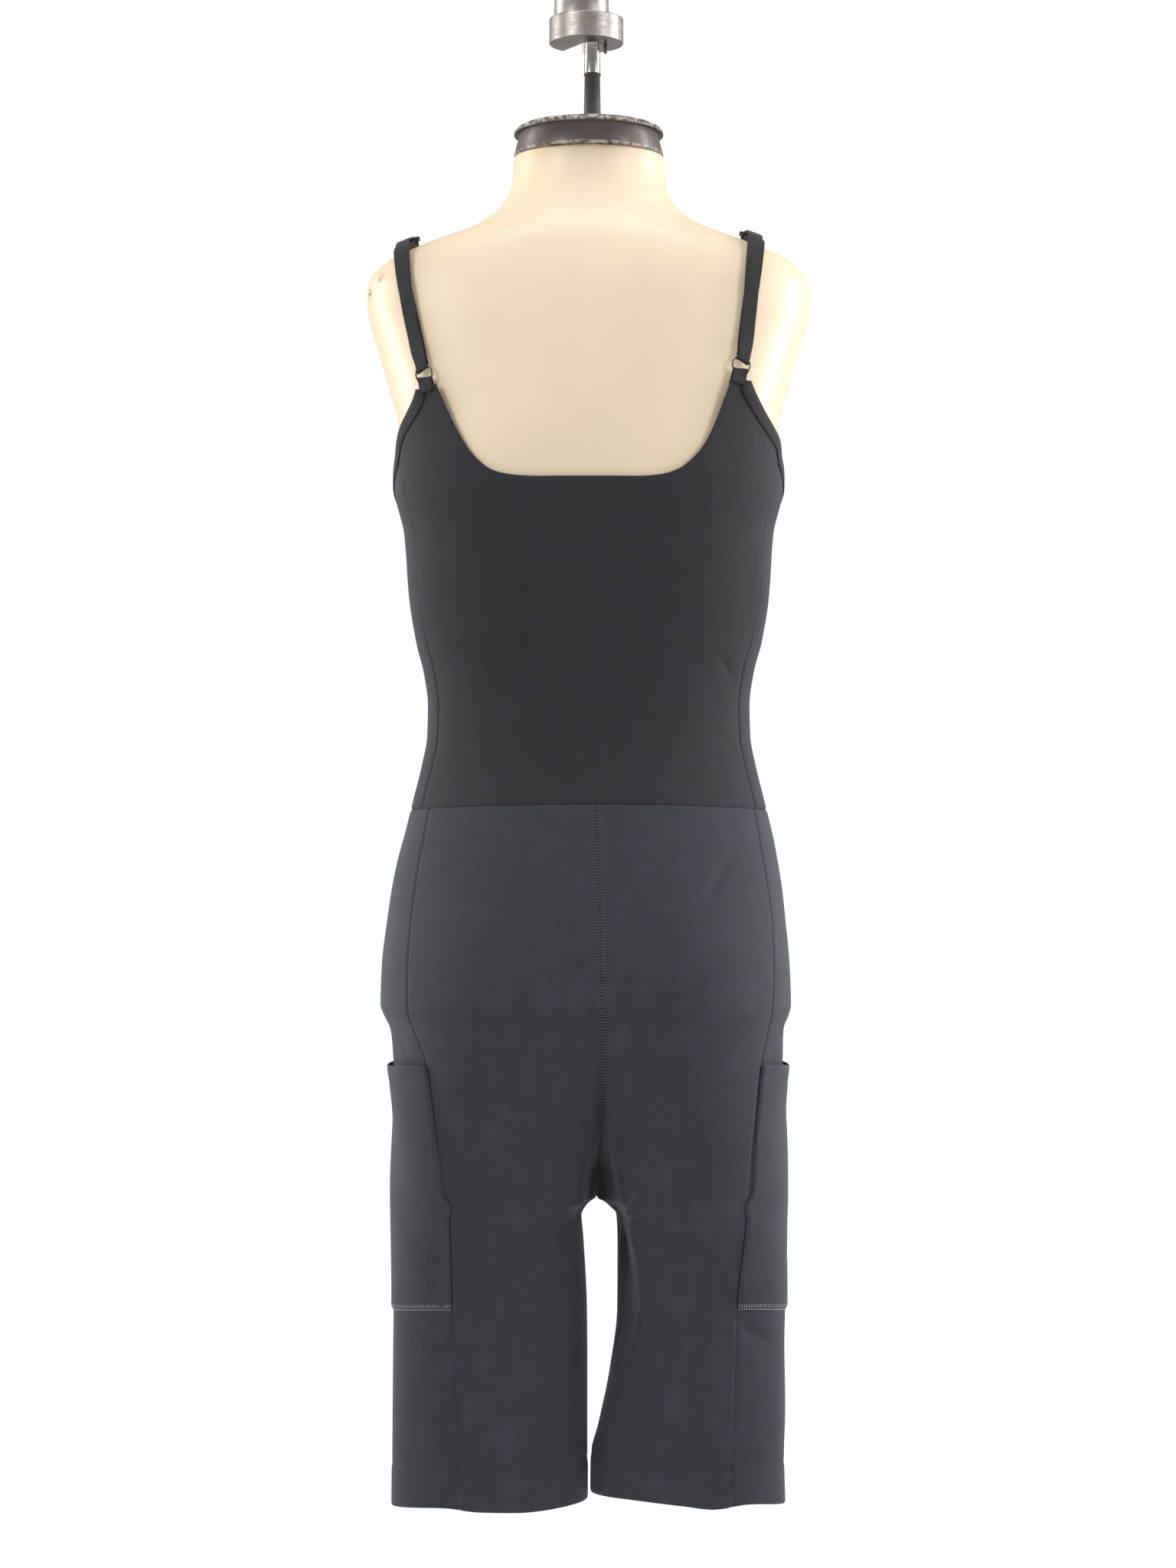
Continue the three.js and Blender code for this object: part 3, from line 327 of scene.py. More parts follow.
# soft troughs (negative) and ridges: strokes between two points of a face, out and up
folds = [
    # face, out1, up1, out2, up2, halfWidth, depth
    ("back", 119, 547, 93, 503, 14, -0.7),
    ("back", 90, 441, 30, 388, 14, -1.1),
    ("back", 41, 368, 20, 303, 10, -2.6),
    ("back", -34, 372, -14, 300, 12, -2.2),
    ("back", 31, 262, 45, 190, 10, 2.2),
    ("back", -92, 200, -20, 198, 16, -1.6),
    ("back", 44, 198, 96, 196, 16, -1.6),
    ("back", -122, 232, -118, 178, 12, -1.6),
    ("back", 122, 164, 148, 140, 10, -1.4),
    ("back", 144, 808, 140, 722, 9, 1.3),
    ("front", 40, 372, 20, 300, 12, -2.2),
    ("front", -44, 368, -18, 296, 12, -2.4),
    ("front", 88, 420, 36, 380, 14, -0.8),
    ("front", -96, 408, -30, 372, 14, -1),
    ("front", 60, 204, 118, 196, 16, -1.6),
    ("front", -66, 190, -120, 200, 16, -1.5),
]
# narrower creases, which only the cloth itself has
creases = [
    ("back", 118, 546, 93, 503, 4, -0.8),
    ("back", 91, 441, 48, 416, 4, -0.9),
    ("back", 50, 417, 29, 385, 3.4, -1.1),
    ("back", 30, 387, 18, 360, 3.4, -1.1),
    ("back", 41, 366, 27, 322, 3.6, -1.1),
    ("back", 28, 324, 20, 304, 3.4, -1),
    ("back", 108, 706, 117, 690, 4, -0.7),
    ("back", -115, 228, -130, 205, 3.6, -1),
    ("back", -130, 206, -120, 178, 3.6, -1),
    ("back", 128, 201, 160, 209, 4, -1),
    ("back", 122, 164, 149, 140, 4, -1),
    ("back", 45, 168, 40, 125, 5, 0.8),
    ("back", 22, 292, 34, 246, 2.6, 1.1),
    ("back", 33, 248, 45, 196, 2.4, 1.3),
    ("back", 45, 198, 44, 158, 2.6, 1.1),
    ("back", 25, 246, 35, 190, 5, -2.4),
    ("back", -154, 388, -146, 372, 3, 1.2),
    ("back", -146, 398, -138, 370, 3, 1),
    ("back", 157, 388, 150, 370, 3, 1.1),
    ("back", 30, 204, 120, 199, 5, -0.5),
    ("back", -118, 203, -36, 205, 5, -0.5),
    ("front", 84, 436, 44, 410, 4, -0.8),
    ("front", -78, 428, -40, 398, 4, -0.8),
    ("front", 34, 362, 22, 316, 3.6, -0.9),
    ("front", -36, 358, -22, 310, 3.6, -0.9),
    ("front", 126, 204, 154, 190, 4, -0.9),
    ("front", -128, 186, -156, 200, 4, -0.9),
]
creaseStrength = 2
waves = {"depth": 1.7, "length": 118, "height": 170, "from": 330, "seed": 11}


def foldDepth(x, y, height):
    depth = np.zeros(np.shape(x))
    marked = [(fold, 1) for fold in folds] + [(crease, creaseStrength) for crease in creases]
    for (face, out1, up1, out2, up2, halfWidth, amount), strength in marked:
        dx, dz = out2 - out1, up2 - up1
        t = np.clip(((x - out1) * dx + (height - up1) * dz) / (dx * dx + dz * dz), 0, 1)
        away = np.hypot(x - out1 - t * dx, height - up1 - t * dz)
        fade = np.sin(math.pi * np.clip(t, 0.08, 0.92)) ** 0.7
        here = strength * amount * fade * np.exp(-((away / halfWidth) ** 2) * 1.4)
        depth += np.where((face == "back") == (y < 0), here, 0)
    return depth


def waveDepth(side, along, height, whole):
    # the free cloth below the form hangs in long, uneven waves, still at the middle seams
    draw = random.Random(waves["seed"] + side)
    depth = np.zeros(np.shape(along))
    for _ in range(5):
        length = waves["length"] * draw.uniform(0.6, 1.5)
        tall = waves["height"] * draw.uniform(0.7, 1.6)
        phase, lean = draw.uniform(0, 2 * math.pi), draw.uniform(-1, 1)
        depth += draw.uniform(0.4, 1) * np.sin(
            2 * math.pi * (along / length + height / tall * lean) + phase
        ) * np.cos(height / tall * 3 + phase)
    still = smoothStep(along, 4, 46) * smoothStep(whole - along, 4, 46)
    free = 1 - smoothStep(height, waves["from"], 402)
    return waves["depth"] * depth / 2 * still * free


# At the back of the crotch the cloth falls in beside the middle seam, further down the right leg
hollow = {
    # height, width of the hollow, depth
    -1: [(215, 3, 0), (240, 5, 5), (250, 9, 18), (258, 13, 30), (284, 13, 30), (296, 10, 18), (316, 3, 0)],
    1: [(80, 8, 0), (125, 13, 9), (168, 18, 18), (207, 17, 24), (232, 13, 26), (250, 14, 28), (258, 22, 30),
        (284, 17, 30), (296, 12, 18), (316, 3, 0)],
}


def hollowed(side, x, y, height, inner):
    heights, widths, depths = np.array(hollow[side]).T
    fromInner = np.abs(x - inner) / np.interp(height, heights, widths)
    fall = np.interp(height, heights, depths) * np.clip(1 - fromInner**3, 0, 1)
    return y + np.minimum(fall, 0.55 * np.maximum(-3 - y, 0))


def placeCloth(side, share, height, lift):
    # a point of the garment, in millimetres, lifted off its outer face
    share, height, lift = np.broadcast_arrays(
        np.asarray(share, float), np.asarray(height, float), np.asarray(lift, float)
    )
    surface = clothSurface[side]
    x, y, nx, ny = (sampleGrid(surface[k], share, height) for k in ("x", "y", "nx", "ny"))
    size = np.hypot(nx, ny)
    nx, ny = nx / size, ny / size
    along = alongOf(side, share, height)
    whole = runAt(side, height, False) + runAt(side, height, True)
    out = lift + foldDepth(side * x, y, height) + waveDepth(side, along, height, whole)
    moved = x + nx * out
    placed = hollowed(side, moved, y + ny * out, height, sampleGrid(surface["x"], share * 0, height))
    # beside the middle seam the cloth keeps to its own side and ends on the seam
    middle = side * turnAt("seam", height) + seamMeet / 2
    isBeside = (height > crotchHeight) & (height <= waistHeight + 5) & ((share < 0.3) | (share > 1.7))
    joined = mix(middle, np.maximum(moved, middle), smoothStep(np.minimum(along, whole - along), 0.1, 2.6))
    moved = np.where(isBeside, joined, moved)
    return np.stack([side * moved, placed, height], axis=-1)


# Pieces


def toFrame(points):
    return (np.asarray(points) - [0, 0, stemTop]) * mm


def addPiece(name, bm, material, replaced=None, slot=None):
    mesh = bpy.data.meshes.new(name)
    bm.to_mesh(mesh)
    bm.free()
    mesh.polygons.foreach_set("use_smooth", [True] * len(mesh.polygons))
    piece = bpy.data.objects.new(name, mesh)
    bpy.context.scene.collection.objects.link(piece)
    mesh.materials.append(material)
    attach(piece, "root")
    if replaced:
        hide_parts(*replaced)
    return piece


def addGrid(bm, points, outward, uv=None, edge=None):
    # a sheet of cloth: a grid whose corners are moved to points, with its faces turned outward
    rows, columns = points.shape[:2]
    uvLayer = bm.loops.layers.uv.verify()
    edgeLayer = bm.verts.layers.float.get("edge") or bm.verts.layers.float.new("edge")
    made = bmesh.ops.create_grid(bm, x_segments=columns - 1, y_segments=rows - 1, size=0.5)
    placed = toFrame(points)
    where = {}
    for vert in made["verts"]:
        j = round((vert.co.x + 0.5) * (columns - 1))
        i = round((vert.co.y + 0.5) * (rows - 1))
        where[vert] = (i, j)
        vert.co = placed[i, j]
        vert[edgeLayer] = 0 if edge is None else edge[i, j]
    faces = list({face for vert in made["verts"] for face in vert.link_faces})
    for face in faces:
        for loop in face.loops:
            loop[uvLayer].uv = (0, 0) if uv is None else uv[where[loop.vert]]
    middle = faces[len(faces) // 2]
    middle.normal_update()
    i, j = where[middle.verts[0]]
    if middle.normal.dot(Vector(outward[i, j])) < 0:
        bmesh.ops.reverse_faces(bm, faces=faces)
    return made["verts"]


def giveWall(piece, thickness, rim=0.3, offset=-1):
    solid = piece.modifiers.new("wall", "SOLIDIFY")
    solid.thickness = thickness * mm
    solid.offset = offset
    solid.use_even_offset = True
    soft = piece.modifiers.new("rim", "BEVEL")
    soft.width = rim * mm
    soft.segments = 2
    soft.limit_method = "ANGLE"
    soft.angle_limit = math.radians(55)
    soft.use_clamp_overlap = True


def addCloth(name, side, share, height, lift, look, edge=None, uv=None):
    # a panel through grids of share, height and lift; side may be a grid too
    sides = np.broadcast_to(side, share.shape)
    points = np.where(
        (sides > 0)[..., None], placeCloth(1, share, height, lift), placeCloth(-1, share, height, lift)
    )
    beyond = np.where(
        (sides > 0)[..., None],
        placeCloth(1, share, height, lift + 1),
        placeCloth(-1, share, height, lift + 1),
    )
    bm = bmesh.new()
    addGrid(bm, points, beyond - points, uv, edge)
    piece = addPiece(name, bm, look["material"], look.get("replaces"), look.get("slot"))
    giveWall(piece, look.get("wall", clothWall), look.get("rim", 0.3), look.get("offset", -1))
    return piece


# distances from a seam at which a panel has columns, so that its edge can roll in
seamStops = np.array([0, 0.35, 0.9, 1.7, 2.8, 4.4])
seamRoll = {"depth": 1.15, "reach": 2.9}


def columnsAcross(width, count):
    inner = seamStops[-1] + np.linspace(0, 1, count + 1)[1:-1] * (width[:, None] - 2 * seamStops[-1])
    first = np.broadcast_to(seamStops, (len(width), len(seamStops)))
    return np.hstack([first, inner, width[:, None] - first[:, ::-1]])


def rolled(distance):
    return -seamRoll["depth"] * (1 - np.clip(distance / seamRoll["reach"], 0, 1)) ** 2


def waistAt(share):
    return waistHeight + 3.5 * np.cos(math.pi / 2 * np.minimum(share, 1)) ** 2


legHeights = np.concatenate([
    [0, 0.8, 2], np.arange(5, 29, 3), [30, 31.5, 33, 34.5, 36, 38], np.arange(41, 243, 3),
    np.arange(244, 264, 1.5), np.arange(265, 398, 3), np.arange(399, 425, 1.6), np.arange(427, 576, 3),
    [576.5, 578.3, 579.6, 580.5, 581],
])
hem = {"fullness": 0.45, "pinch": 0.5, "rows": (-1.75, 1.75)}


def hemLift(height):
    full = hem["fullness"] * (1 - smoothStep(height, hemStitch - 4, hemStitch + 3))
    pinch = sum(np.exp(-(((height - hemStitch - row) / 1.5) ** 2)) for row in hem["rows"])
    return full - hem["pinch"] * pinch - 0.5 * (1 - smoothStep(height, 0, 2.4))


def panelBetween(side, lowAlong, highAlong, heights, count):
    # the grids of a panel between two seams that are given as millimetres round
    first, last = lowAlong(heights), highAlong(heights)
    across = columnsAcross(last - first, count)
    height = np.repeat(heights[:, None], across.shape[1], axis=1)
    share = shareOf(side, first[:, None] + across, height)
    fromEdges = np.minimum(across, across[:, -1:] - across)
    uv = np.stack([(across - across[:, -1:] / 2) * mm, height * mm], axis=-1)
    return share, height, fromEdges, uv


def besideSeam(side, seam, sign):
    return lambda h: alongOf(side, seam[side](h), h) + sign * seamMeet / 2


def wholeRun(side):
    return lambda h: runAt(side, h, False) + runAt(side, h, True)


# how much the hanging hem rises, against the share of the way round
hemRise = {
    -1: tableOf("share rise", [[0, 9], [0.12, 7.6], [0.38, 2], [0.54, 3], [0.68, 6.4], [1, 2.5], [1.5, 2], [2, 9]]),
    1: tableOf("share rise", [[0, 15], [0.22, 14], [0.46, 9], [0.6, 5.5], [0.74, 9], [1, 4], [1.5, 3], [2, 15]]),
}


def risen(side, share, height):
    return height + hemRise[side]("rise", share) * (1 - smoothStep(height, -40, 170))


def shortsPanel(name, side, lowAlong, highAlong, count, look):
    share, height, fromEdges, uv = panelBetween(side, lowAlong, highAlong, legHeights, count)
    top = np.clip((height - 562) / (waistHeight - 562), 0, 1)
    lift = rolled(fromEdges) + rolled(waistHeight - height) + hemLift(height)
    height = risen(side, share, height) + top * (waistAt(share) - waistHeight - seamMeet / 2)
    nearest = np.minimum(fromEdges, np.minimum(waistHeight - legHeights[:, None], legHeights[:, None]))
    edge = np.exp(-((nearest / 1.6) ** 2))
    return addCloth(name, side, share, height, lift, look, edge, uv)


# Materials

def startMaterial(name):
    material = bpy.data.materials.new(name)
    material.use_nodes = True
    return material, material.node_tree, material.node_tree.nodes["Principled BSDF"]


def addNode(tree, kind, values, output=0, **settings):
    # a node with its sockets set, or joined where the value is another node's output
    made = tree.nodes.new("ShaderNode" + kind)
    for key, value in settings.items():
        setattr(made, key, value)
    for key, value in values.items():
        socket = made.inputs[key]
        if isinstance(value, bpy.types.NodeSocket):
            tree.links.new(value, socket)
        else:
            socket.default_value = value
    return made.outputs[output]


def setShader(tree, shader, values):
    for key, value in values.items():
        if isinstance(value, bpy.types.NodeSocket):
            tree.links.new(value, shader.inputs[key])
        else:
            shader.inputs[key].default_value = value


def objectAt(tree):
    return addNode(tree, "TexCoord", {}, "Object")


def noise(tree, at, scale, detail=2, rough=0.5):
    return addNode(tree, "TexNoise", {"Vector": at, "Scale": scale, "Detail": detail, "Roughness": rough})


def stretched(tree, at, scale, place=(0, 0, 0), turn=(0, 0, 0)):
    return addNode(tree, "Mapping", {"Vector": at, "Scale": scale, "Location": place, "Rotation": turn})


def ranged(tree, value, low, high, newLow=0, newHigh=1):
    return addNode(tree, "MapRange", {
        "Value": value, "From Min": low, "From Max": high, "To Min": newLow, "To Max": newHigh,
    })


def maths(tree, operation, a, b=0):
    return addNode(tree, "Math", {0: a, 1: b}, operation=operation)


def blended(tree, factor, a, b, kind="MIX"):
    return addNode(tree, "Mix", {0: factor, 6: a, 7: b}, 2, data_type="RGBA", blend_type=kind)


def bumped(tree, height, strength, distance, below=None):
    values = {"Height": height, "Strength": strength, "Distance": distance}
    if below is not None:
        values["Normal"] = below
    return addNode(tree, "Bump", values)


def scaled(colour, amount):
    return (colour[0] * amount, colour[1] * amount, colour[2] * amount, 1)


knit = {"wale": 0.00082, "course": 0.00105, "bump": 0.32, "mottle": 0.12}


def knitCloth(name, colour, tint, roughness=0.72, sheen=0.3):
    # a fine brushed jersey: ribs along the cloth, loops across them, a cloudy cast, and a painted highlight along
    # its seams, hems and edges
    material, tree, shader = startMaterial(name)
    at = addNode(tree, "UVMap", {})
    place = objectAt(tree)
    parts = tree.nodes.new("ShaderNodeSeparateXYZ")
    tree.links.new(at, parts.inputs[0])
    wale = maths(tree, "SINE", maths(tree, "MULTIPLY", parts.outputs[0], 2 * math.pi / knit["wale"]))
    slant = maths(tree, "MULTIPLY", maths(tree, "ABSOLUTE", wale), 2.4)
    loops = maths(tree, "MULTIPLY", parts.outputs[1], 2 * math.pi / knit["course"])
    course = maths(tree, "SINE", maths(tree, "ADD", loops, slant))
    stitch = maths(tree, "ADD", maths(tree, "ABSOLUTE", wale), maths(tree, "MULTIPLY", course, 0.45))
    fuzz = noise(tree, place, 2600, 2, 0.6)
    clouds = noise(tree, stretched(tree, place, (1, 1, 0.45)), 70, 3, 0.6)
    patches = noise(tree, stretched(tree, place, (0.4, 0.4, 1)), 46, 2, 0.5)
    flecks = noise(tree, stretched(tree, place, (1, 1, 0.55)), 620, 2, 0.65)
    tone = maths(tree, "ADD", ranged(tree, clouds, 0.3, 0.7, -0.5, 0.5), ranged(tree, patches, 0.3, 0.7, -0.3, 0.3))
    base = blended(tree, ranged(tree, tone, -0.8, 0.8), scaled(colour, 1 - knit["mottle"]), scaled(tint, 1))
    heather = blended(tree, ranged(tree, flecks, 0.35, 0.7, 0, 0.5), base, scaled(tint, 1.4))
    loopShade = blended(tree, ranged(tree, stitch, -0.4, 1.4, 0.3, 0), heather, scaled(colour, 0.45))
    # painted highlight: the cloth is lightened towards its tint near seams, hems and panel edges, where the rolled
    # edges catch light
    nearEdge = addNode(tree, "Attribute", {}, "Fac", attribute_name="edge")
    wornAndHighlit = blended(tree, maths(tree, "MULTIPLY", nearEdge, 0.2), loopShade, scaled(tint, 1.7))
    coarse = bumped(tree, clouds, 0.1, 0.004)
    fine = bumped(tree, maths(tree, "ADD", stitch, fuzz), knit["bump"], 0.00022, coarse)
    setShader(tree, shader, {
        "Base Color": wornAndHighlit, "Normal": fine,
        "Roughness": ranged(tree, flecks, 0.3, 0.7, roughness - 0.07, roughness + 0.07),
        "Sheen Weight": sheen, "Sheen Roughness": 0.36, "Sheen Tint": (0.88, 0.93, 1, 1),
        "Specular IOR Level": 0.26,
    })
    return material


def plainThread(name, colour, roughness=0.62):
    material, tree, shader = startMaterial(name)
    at = objectAt(tree)
    twist = addNode(tree, "TexWave", {
        "Vector": stretched(tree, at, (1, 1, 1), turn=(0.5, 0.4, 0.3)), "Scale": 900, "Distortion": 2,
    })
    tone = noise(tree, at, 300, 2)
    shade = blended(tree, ranged(tree, tone, 0.3, 0.7), scaled(colour, 0.85), scaled(colour, 1.2))
    setShader(tree, shader, {
        "Base Color": shade, "Roughness": roughness, "Normal": bumped(tree, twist, 0.4, 0.0001),
        "Sheen Weight": 0.2,
    })
    return material


formMarks = {
    # dark chips on the shoulder tips, where the paint has worn: place and reach in metres
    "chips": [((-0.176, -0.05, -0.255), 0.011), ((-0.183, -0.03, -0.268), 0.008)],
    "scratch": 0.5,
}


def spot(tree, at, centre, reach):
    away = addNode(tree, "VectorMath", {0: at, 1: centre}, "Value", operation="DISTANCE")
    return ranged(tree, away, reach, reach * 0.35)


def formPlastic(name, colour):
    material, tree, shader = startMaterial(name)
    at = objectAt(tree)
    clouds = noise(tree, at, 9, 3)
    grain = noise(tree, at, 900, 2)
    fineLines = noise(tree, stretched(tree, at, (260, 60, 22), turn=(0.2, 0, 0.5)), 1, 2, 0.6)
    lines = ranged(tree, fineLines, 0.7, 0.78, 0, formMarks["scratch"])
    base = blended(tree, ranged(tree, clouds, 0.3, 0.7), scaled(colour, 0.95), scaled(colour, 1.03))
    aged = blended(tree, ranged(tree, noise(tree, at, 38, 3), 0.55, 0.85, 0, 0.08), base, (0.72, 0.55, 0.35, 1))
    marked = blended(tree, maths(tree, "MULTIPLY", lines, 0.3), aged, (0.55, 0.44, 0.3, 1))
    speck = noise(tree, at, 420, 3, 0.7)
    chipped = 0
    for centre, reach in formMarks["chips"]:
        here = maths(tree, "MULTIPLY", spot(tree, at, centre, reach), ranged(tree, speck, 0.5, 0.56))
        chipped = maths(tree, "MAXIMUM", chipped, here)
    bare = blended(tree, chipped, marked, (0.12, 0.09, 0.065, 1))
    dents = bumped(tree, noise(tree, at, 16, 2), 0.06, 0.01)
    texture = bumped(tree, maths(tree, "SUBTRACT", grain, maths(tree, "MULTIPLY", lines, 2)), 0.05, 0.0004, dents)
    setShader(tree, shader, {
        "Base Color": bare, "Normal": bumped(tree, chipped, 0.5, -0.0004, texture),
        "Roughness": ranged(tree, noise(tree, at, 60, 3), 0.3, 0.7, 0.4, 0.48),
        "Coat Weight": 0.2, "Coat Roughness": 0.3, "Specular IOR Level": 0.45,
    })
    return material


def capPaint(name, colour):
    # brown paint, rubbed through to pale plastic along the rim
    material, tree, shader = startMaterial(name)
    at = objectAt(tree)
    parts = tree.nodes.new("ShaderNodeSeparateXYZ")
    tree.links.new(stretched(tree, at, (1, 1, 1), place=(0, 0.002, 0)), parts.inputs[0])
    square = maths(tree, "ADD", maths(tree, "POWER", maths(tree, "ABSOLUTE", parts.outputs[0]), 2),
                   maths(tree, "POWER", maths(tree, "ABSOLUTE", parts.outputs[1]), 2))
    out = maths(tree, "SQRT", square)
    rim = ranged(tree, maths(tree, "ADD", out, parts.outputs[2]), -0.0685, -0.0655)
    lower = ranged(tree, parts.outputs[2], -0.1462, -0.1488)
    rubbed = noise(tree, at, 210, 4, 0.65)
    bare = maths(tree, "MULTIPLY", maths(tree, "MAXIMUM", rim, maths(tree, "MULTIPLY", lower, 0.7)),
                 ranged(tree, rubbed, 0.44, 0.56))
    grime = noise(tree, at, 30, 3)
    base = blended(tree, ranged(tree, grime, 0.3, 0.7), scaled(colour, 0.78), scaled(colour, 1.25))
    flecked = blended(tree, ranged(tree, noise(tree, at, 800, 2), 0.6, 0.7, 0, 0.35), base, scaled(colour, 2))
    wornAndHighlit = blended(tree, bare, flecked, (0.62, 0.55, 0.46, 1))
    setShader(tree, shader, {
        "Base Color": wornAndHighlit, "Normal": bumped(tree, maths(tree, "SUBTRACT", rubbed, bare), 0.25, 0.0004),
        "Roughness": ranged(tree, rubbed, 0.3, 0.7, 0.38, 0.55), "Coat Weight": 0.1,
    })
    return material


def bareMetal(name, colour, roughness, brushed=0.12, grain=(40, 40, 900)):
    material, tree, shader = startMaterial(name)
    at = objectAt(tree)
    lines = noise(tree, stretched(tree, at, grain), 1, 3, 0.6)
    marks = noise(tree, at, 180, 3)
    tone = blended(tree, ranged(tree, marks, 0.35, 0.7), scaled(colour, 1), scaled(colour, 0.8))
    setShader(tree, shader, {
        "Base Color": tone, "Metallic": 1.0, "Normal": bumped(tree, lines, brushed, 0.0003),
        "Roughness": ranged(tree, lines, 0.3, 0.7, roughness * 0.8, roughness * 1.3),
    })
    return material


def mouldedBlack(name, colour, roughness):
    material, tree, shader = startMaterial(name)
    at = objectAt(tree)
    scuffs = noise(tree, stretched(tree, at, (1, 1, 0.3)), 240, 4, 0.7)
    tone = blended(tree, ranged(tree, scuffs, 0.5, 0.8, 0, 0.5), scaled(colour, 1), scaled(colour, 2.6))
    setShader(tree, shader, {
        "Base Color": tone, "Normal": bumped(tree, noise(tree, at, 1500, 2), 0.12, 0.0002),
        "Roughness": ranged(tree, scuffs, 0.3, 0.7, roughness, roughness + 0.15),
    })
    return material


finishes = {
    "bodice": knitCloth("bodice_knit", (0.019, 0.0185, 0.0225), (0.025, 0.0245, 0.031), 0.74, 0.22),
    "shorts": knitCloth("shorts_knit", (0.027, 0.0295, 0.036), (0.034, 0.0385, 0.049), 0.72, 0.24),
    "strap": knitCloth("strap_elastic", (0.015, 0.015, 0.015), (0.02, 0.02, 0.021), 0.7, 0.16),
    "thread": plainThread("tonal_thread", (0.05, 0.053, 0.06)),
    "darkThread": plainThread("dark_thread", (0.014, 0.014, 0.016)),
    "greyThread": plainThread("grey_thread", (0.21, 0.218, 0.228)),
    "form": formPlastic("form_plastic", (0.807, 0.658, 0.468)),
    "cap": capPaint("cap_paint", (0.075, 0.056, 0.051)),
    "sleeve": mouldedBlack("rod_rubber", (0.085, 0.08, 0.078), 0.45),
    "rod": bareMetal("rod_chrome", (0.4, 0.375, 0.35), 0.26, 0.02),
    "collar": bareMetal("collar_steel", (0.38, 0.345, 0.325), 0.42, 0.2),
    "slider": mouldedBlack("slider_plastic", (0.014, 0.014, 0.015), 0.28),
    "ring": bareMetal("ring_metal", (0.12, 0.115, 0.11), 0.24, 0.03),
}
print("materials made:", len(finishes))


# Shorts

def makeShorts():
    for side in (-1, 1):
        name = sideNames[side]
        look = {"material": finishes["shorts"], "slot": "shorts_knit"}
        nothing = lambda h: np.zeros(len(h))
        shortsPanel(
            "back_leg_" + name, side, nothing, besideSeam(side, backSeam, -1), 40,
            {**look, "replaces": ["leg_back_" + name]},
        )
        shortsPanel(
            "front_leg_" + name, side, besideSeam(side, frontSeam, 1),
            wholeRun(side), 36,
            {**look, "replaces": ["leg_front_" + name]},
        )
        shortsPanel(
            "hip_panel_" + name, side, besideSeam(side, backSeam, 1), besideSeam(side, frontSeam, -1),
            22, {**look, "replaces": ["side_panel_" + name]},
        )


pocketCut = {"mouthLift": 3.4, "mouthFrom": 318, "wall": 1.3, "hem": (11, 15), "pinch": 0.35,
             "rise": (8, 6)}
pocketHeights = np.concatenate([
    [163, 163.5, 164.4, 165.6, 167.5], np.arange(170, 349, 3), [349.5, 350.7, 352, 353.3, 354.7, 356, 357.3, 359],
    [361, 363, 365, 366.2, 367],
])


def pocketLift(fromEdges, width, height):
    mouth = pocketCut["mouthLift"] * smoothStep(height, pocketCut["mouthFrom"], pocketTop)
    lift = seamGap + clothWall + mouth * np.sin(math.pi * fromEdges / width) ** 0.5
    lift = lift + rolled(fromEdges) * 1.2 + rolled((height - pocketBottom) * 0.8) * 1.2
    for row in pocketCut["hem"]:
        lift = lift - pocketCut["pinch"] * np.exp(-(((height - pocketTop + row) / 1.3) ** 2))
    return lift + 0.3 * smoothStep(height, pocketTop - 10, pocketTop - 6)


def pocketRisen(fromBack, height):
    # the pocket sits a little higher at its back seam than at the side
    low, high = pocketCut["rise"]
    near = 1 - smoothStep(fromBack, 0, 0.5)
    upper = (height - pocketBottom) / (pocketTop - pocketBottom)
    return height + mix(mix(3, low, near), mix(2, high, near), upper)


def makePockets():
    for side in (-1, 1):
        share, height, fromEdges, uv = panelBetween(
            side, besideSeam(side, backSeam, 1), besideSeam(side, frontSeam, -1), pocketHeights, 22,
        )
        width = 2 * fromEdges.max(axis=1, keepdims=True)
        lift = pocketLift(fromEdges, width, height)
        nearest = np.minimum(fromEdges, np.minimum(height - pocketBottom, pocketTop - height))
        fromBack = (uv[..., 0] / mm + width / 2) / width
        addCloth(
            "side_pocket_" + sideNames[side], side, share, pocketRisen(fromBack, height), lift,
            {"material": finishes["shorts"], "slot": "shorts_knit", "wall": pocketCut["wall"],
             "replaces": ["pocket_" + sideNames[side]]},
            np.exp(-((nearest / 1.6) ** 2)), uv,
        )


# Bodice

underarm = {-1: 872, 1: 871}
armholeCurve = {
    # out, height
    ("back", -1): [(157.4, 883), (154.4, 893), (148.2, 903.7), (142.8, 913), (139.6, 921.6)],
    ("back", 1): [(157, 882.5), (149.6, 895), (142.4, 905.4), (134.7, 918.6), (130.6, 927.8)],
    "front": [(153, 874), (148.5, 883), (143.5, 893), (138.8, 905), (134.5, 917), (132.5, 926)],
}
underarmDip = [(0.91, 862), (0.99, 854), (1.07, 849), (1.15, 848.5), (1.22, 856)]
necklineCurve = {
    ("back", -1): [(124, 925.4), (117, 909.5), (110.7, 895.7), (104.5, 883.8), (98.3, 873.7),
                   (92, 865.5), (79.6, 855.3), (67, 851.2), (48.7, 849.2), (25, 849), (0, 849)],
    ("back", 1): [(115.8, 929.6), (105.6, 902), (99.5, 887.2), (93.2, 875.4), (87, 867.2),
                  (74.6, 856.4), (62, 851.4), (46, 849.2), (25, 849), (0, 849)],
    "front": [(119.5, 927), (110, 908), (98, 890), (82, 875), (62, 864), (40, 858), (18, 856), (0, 855.5)],
}


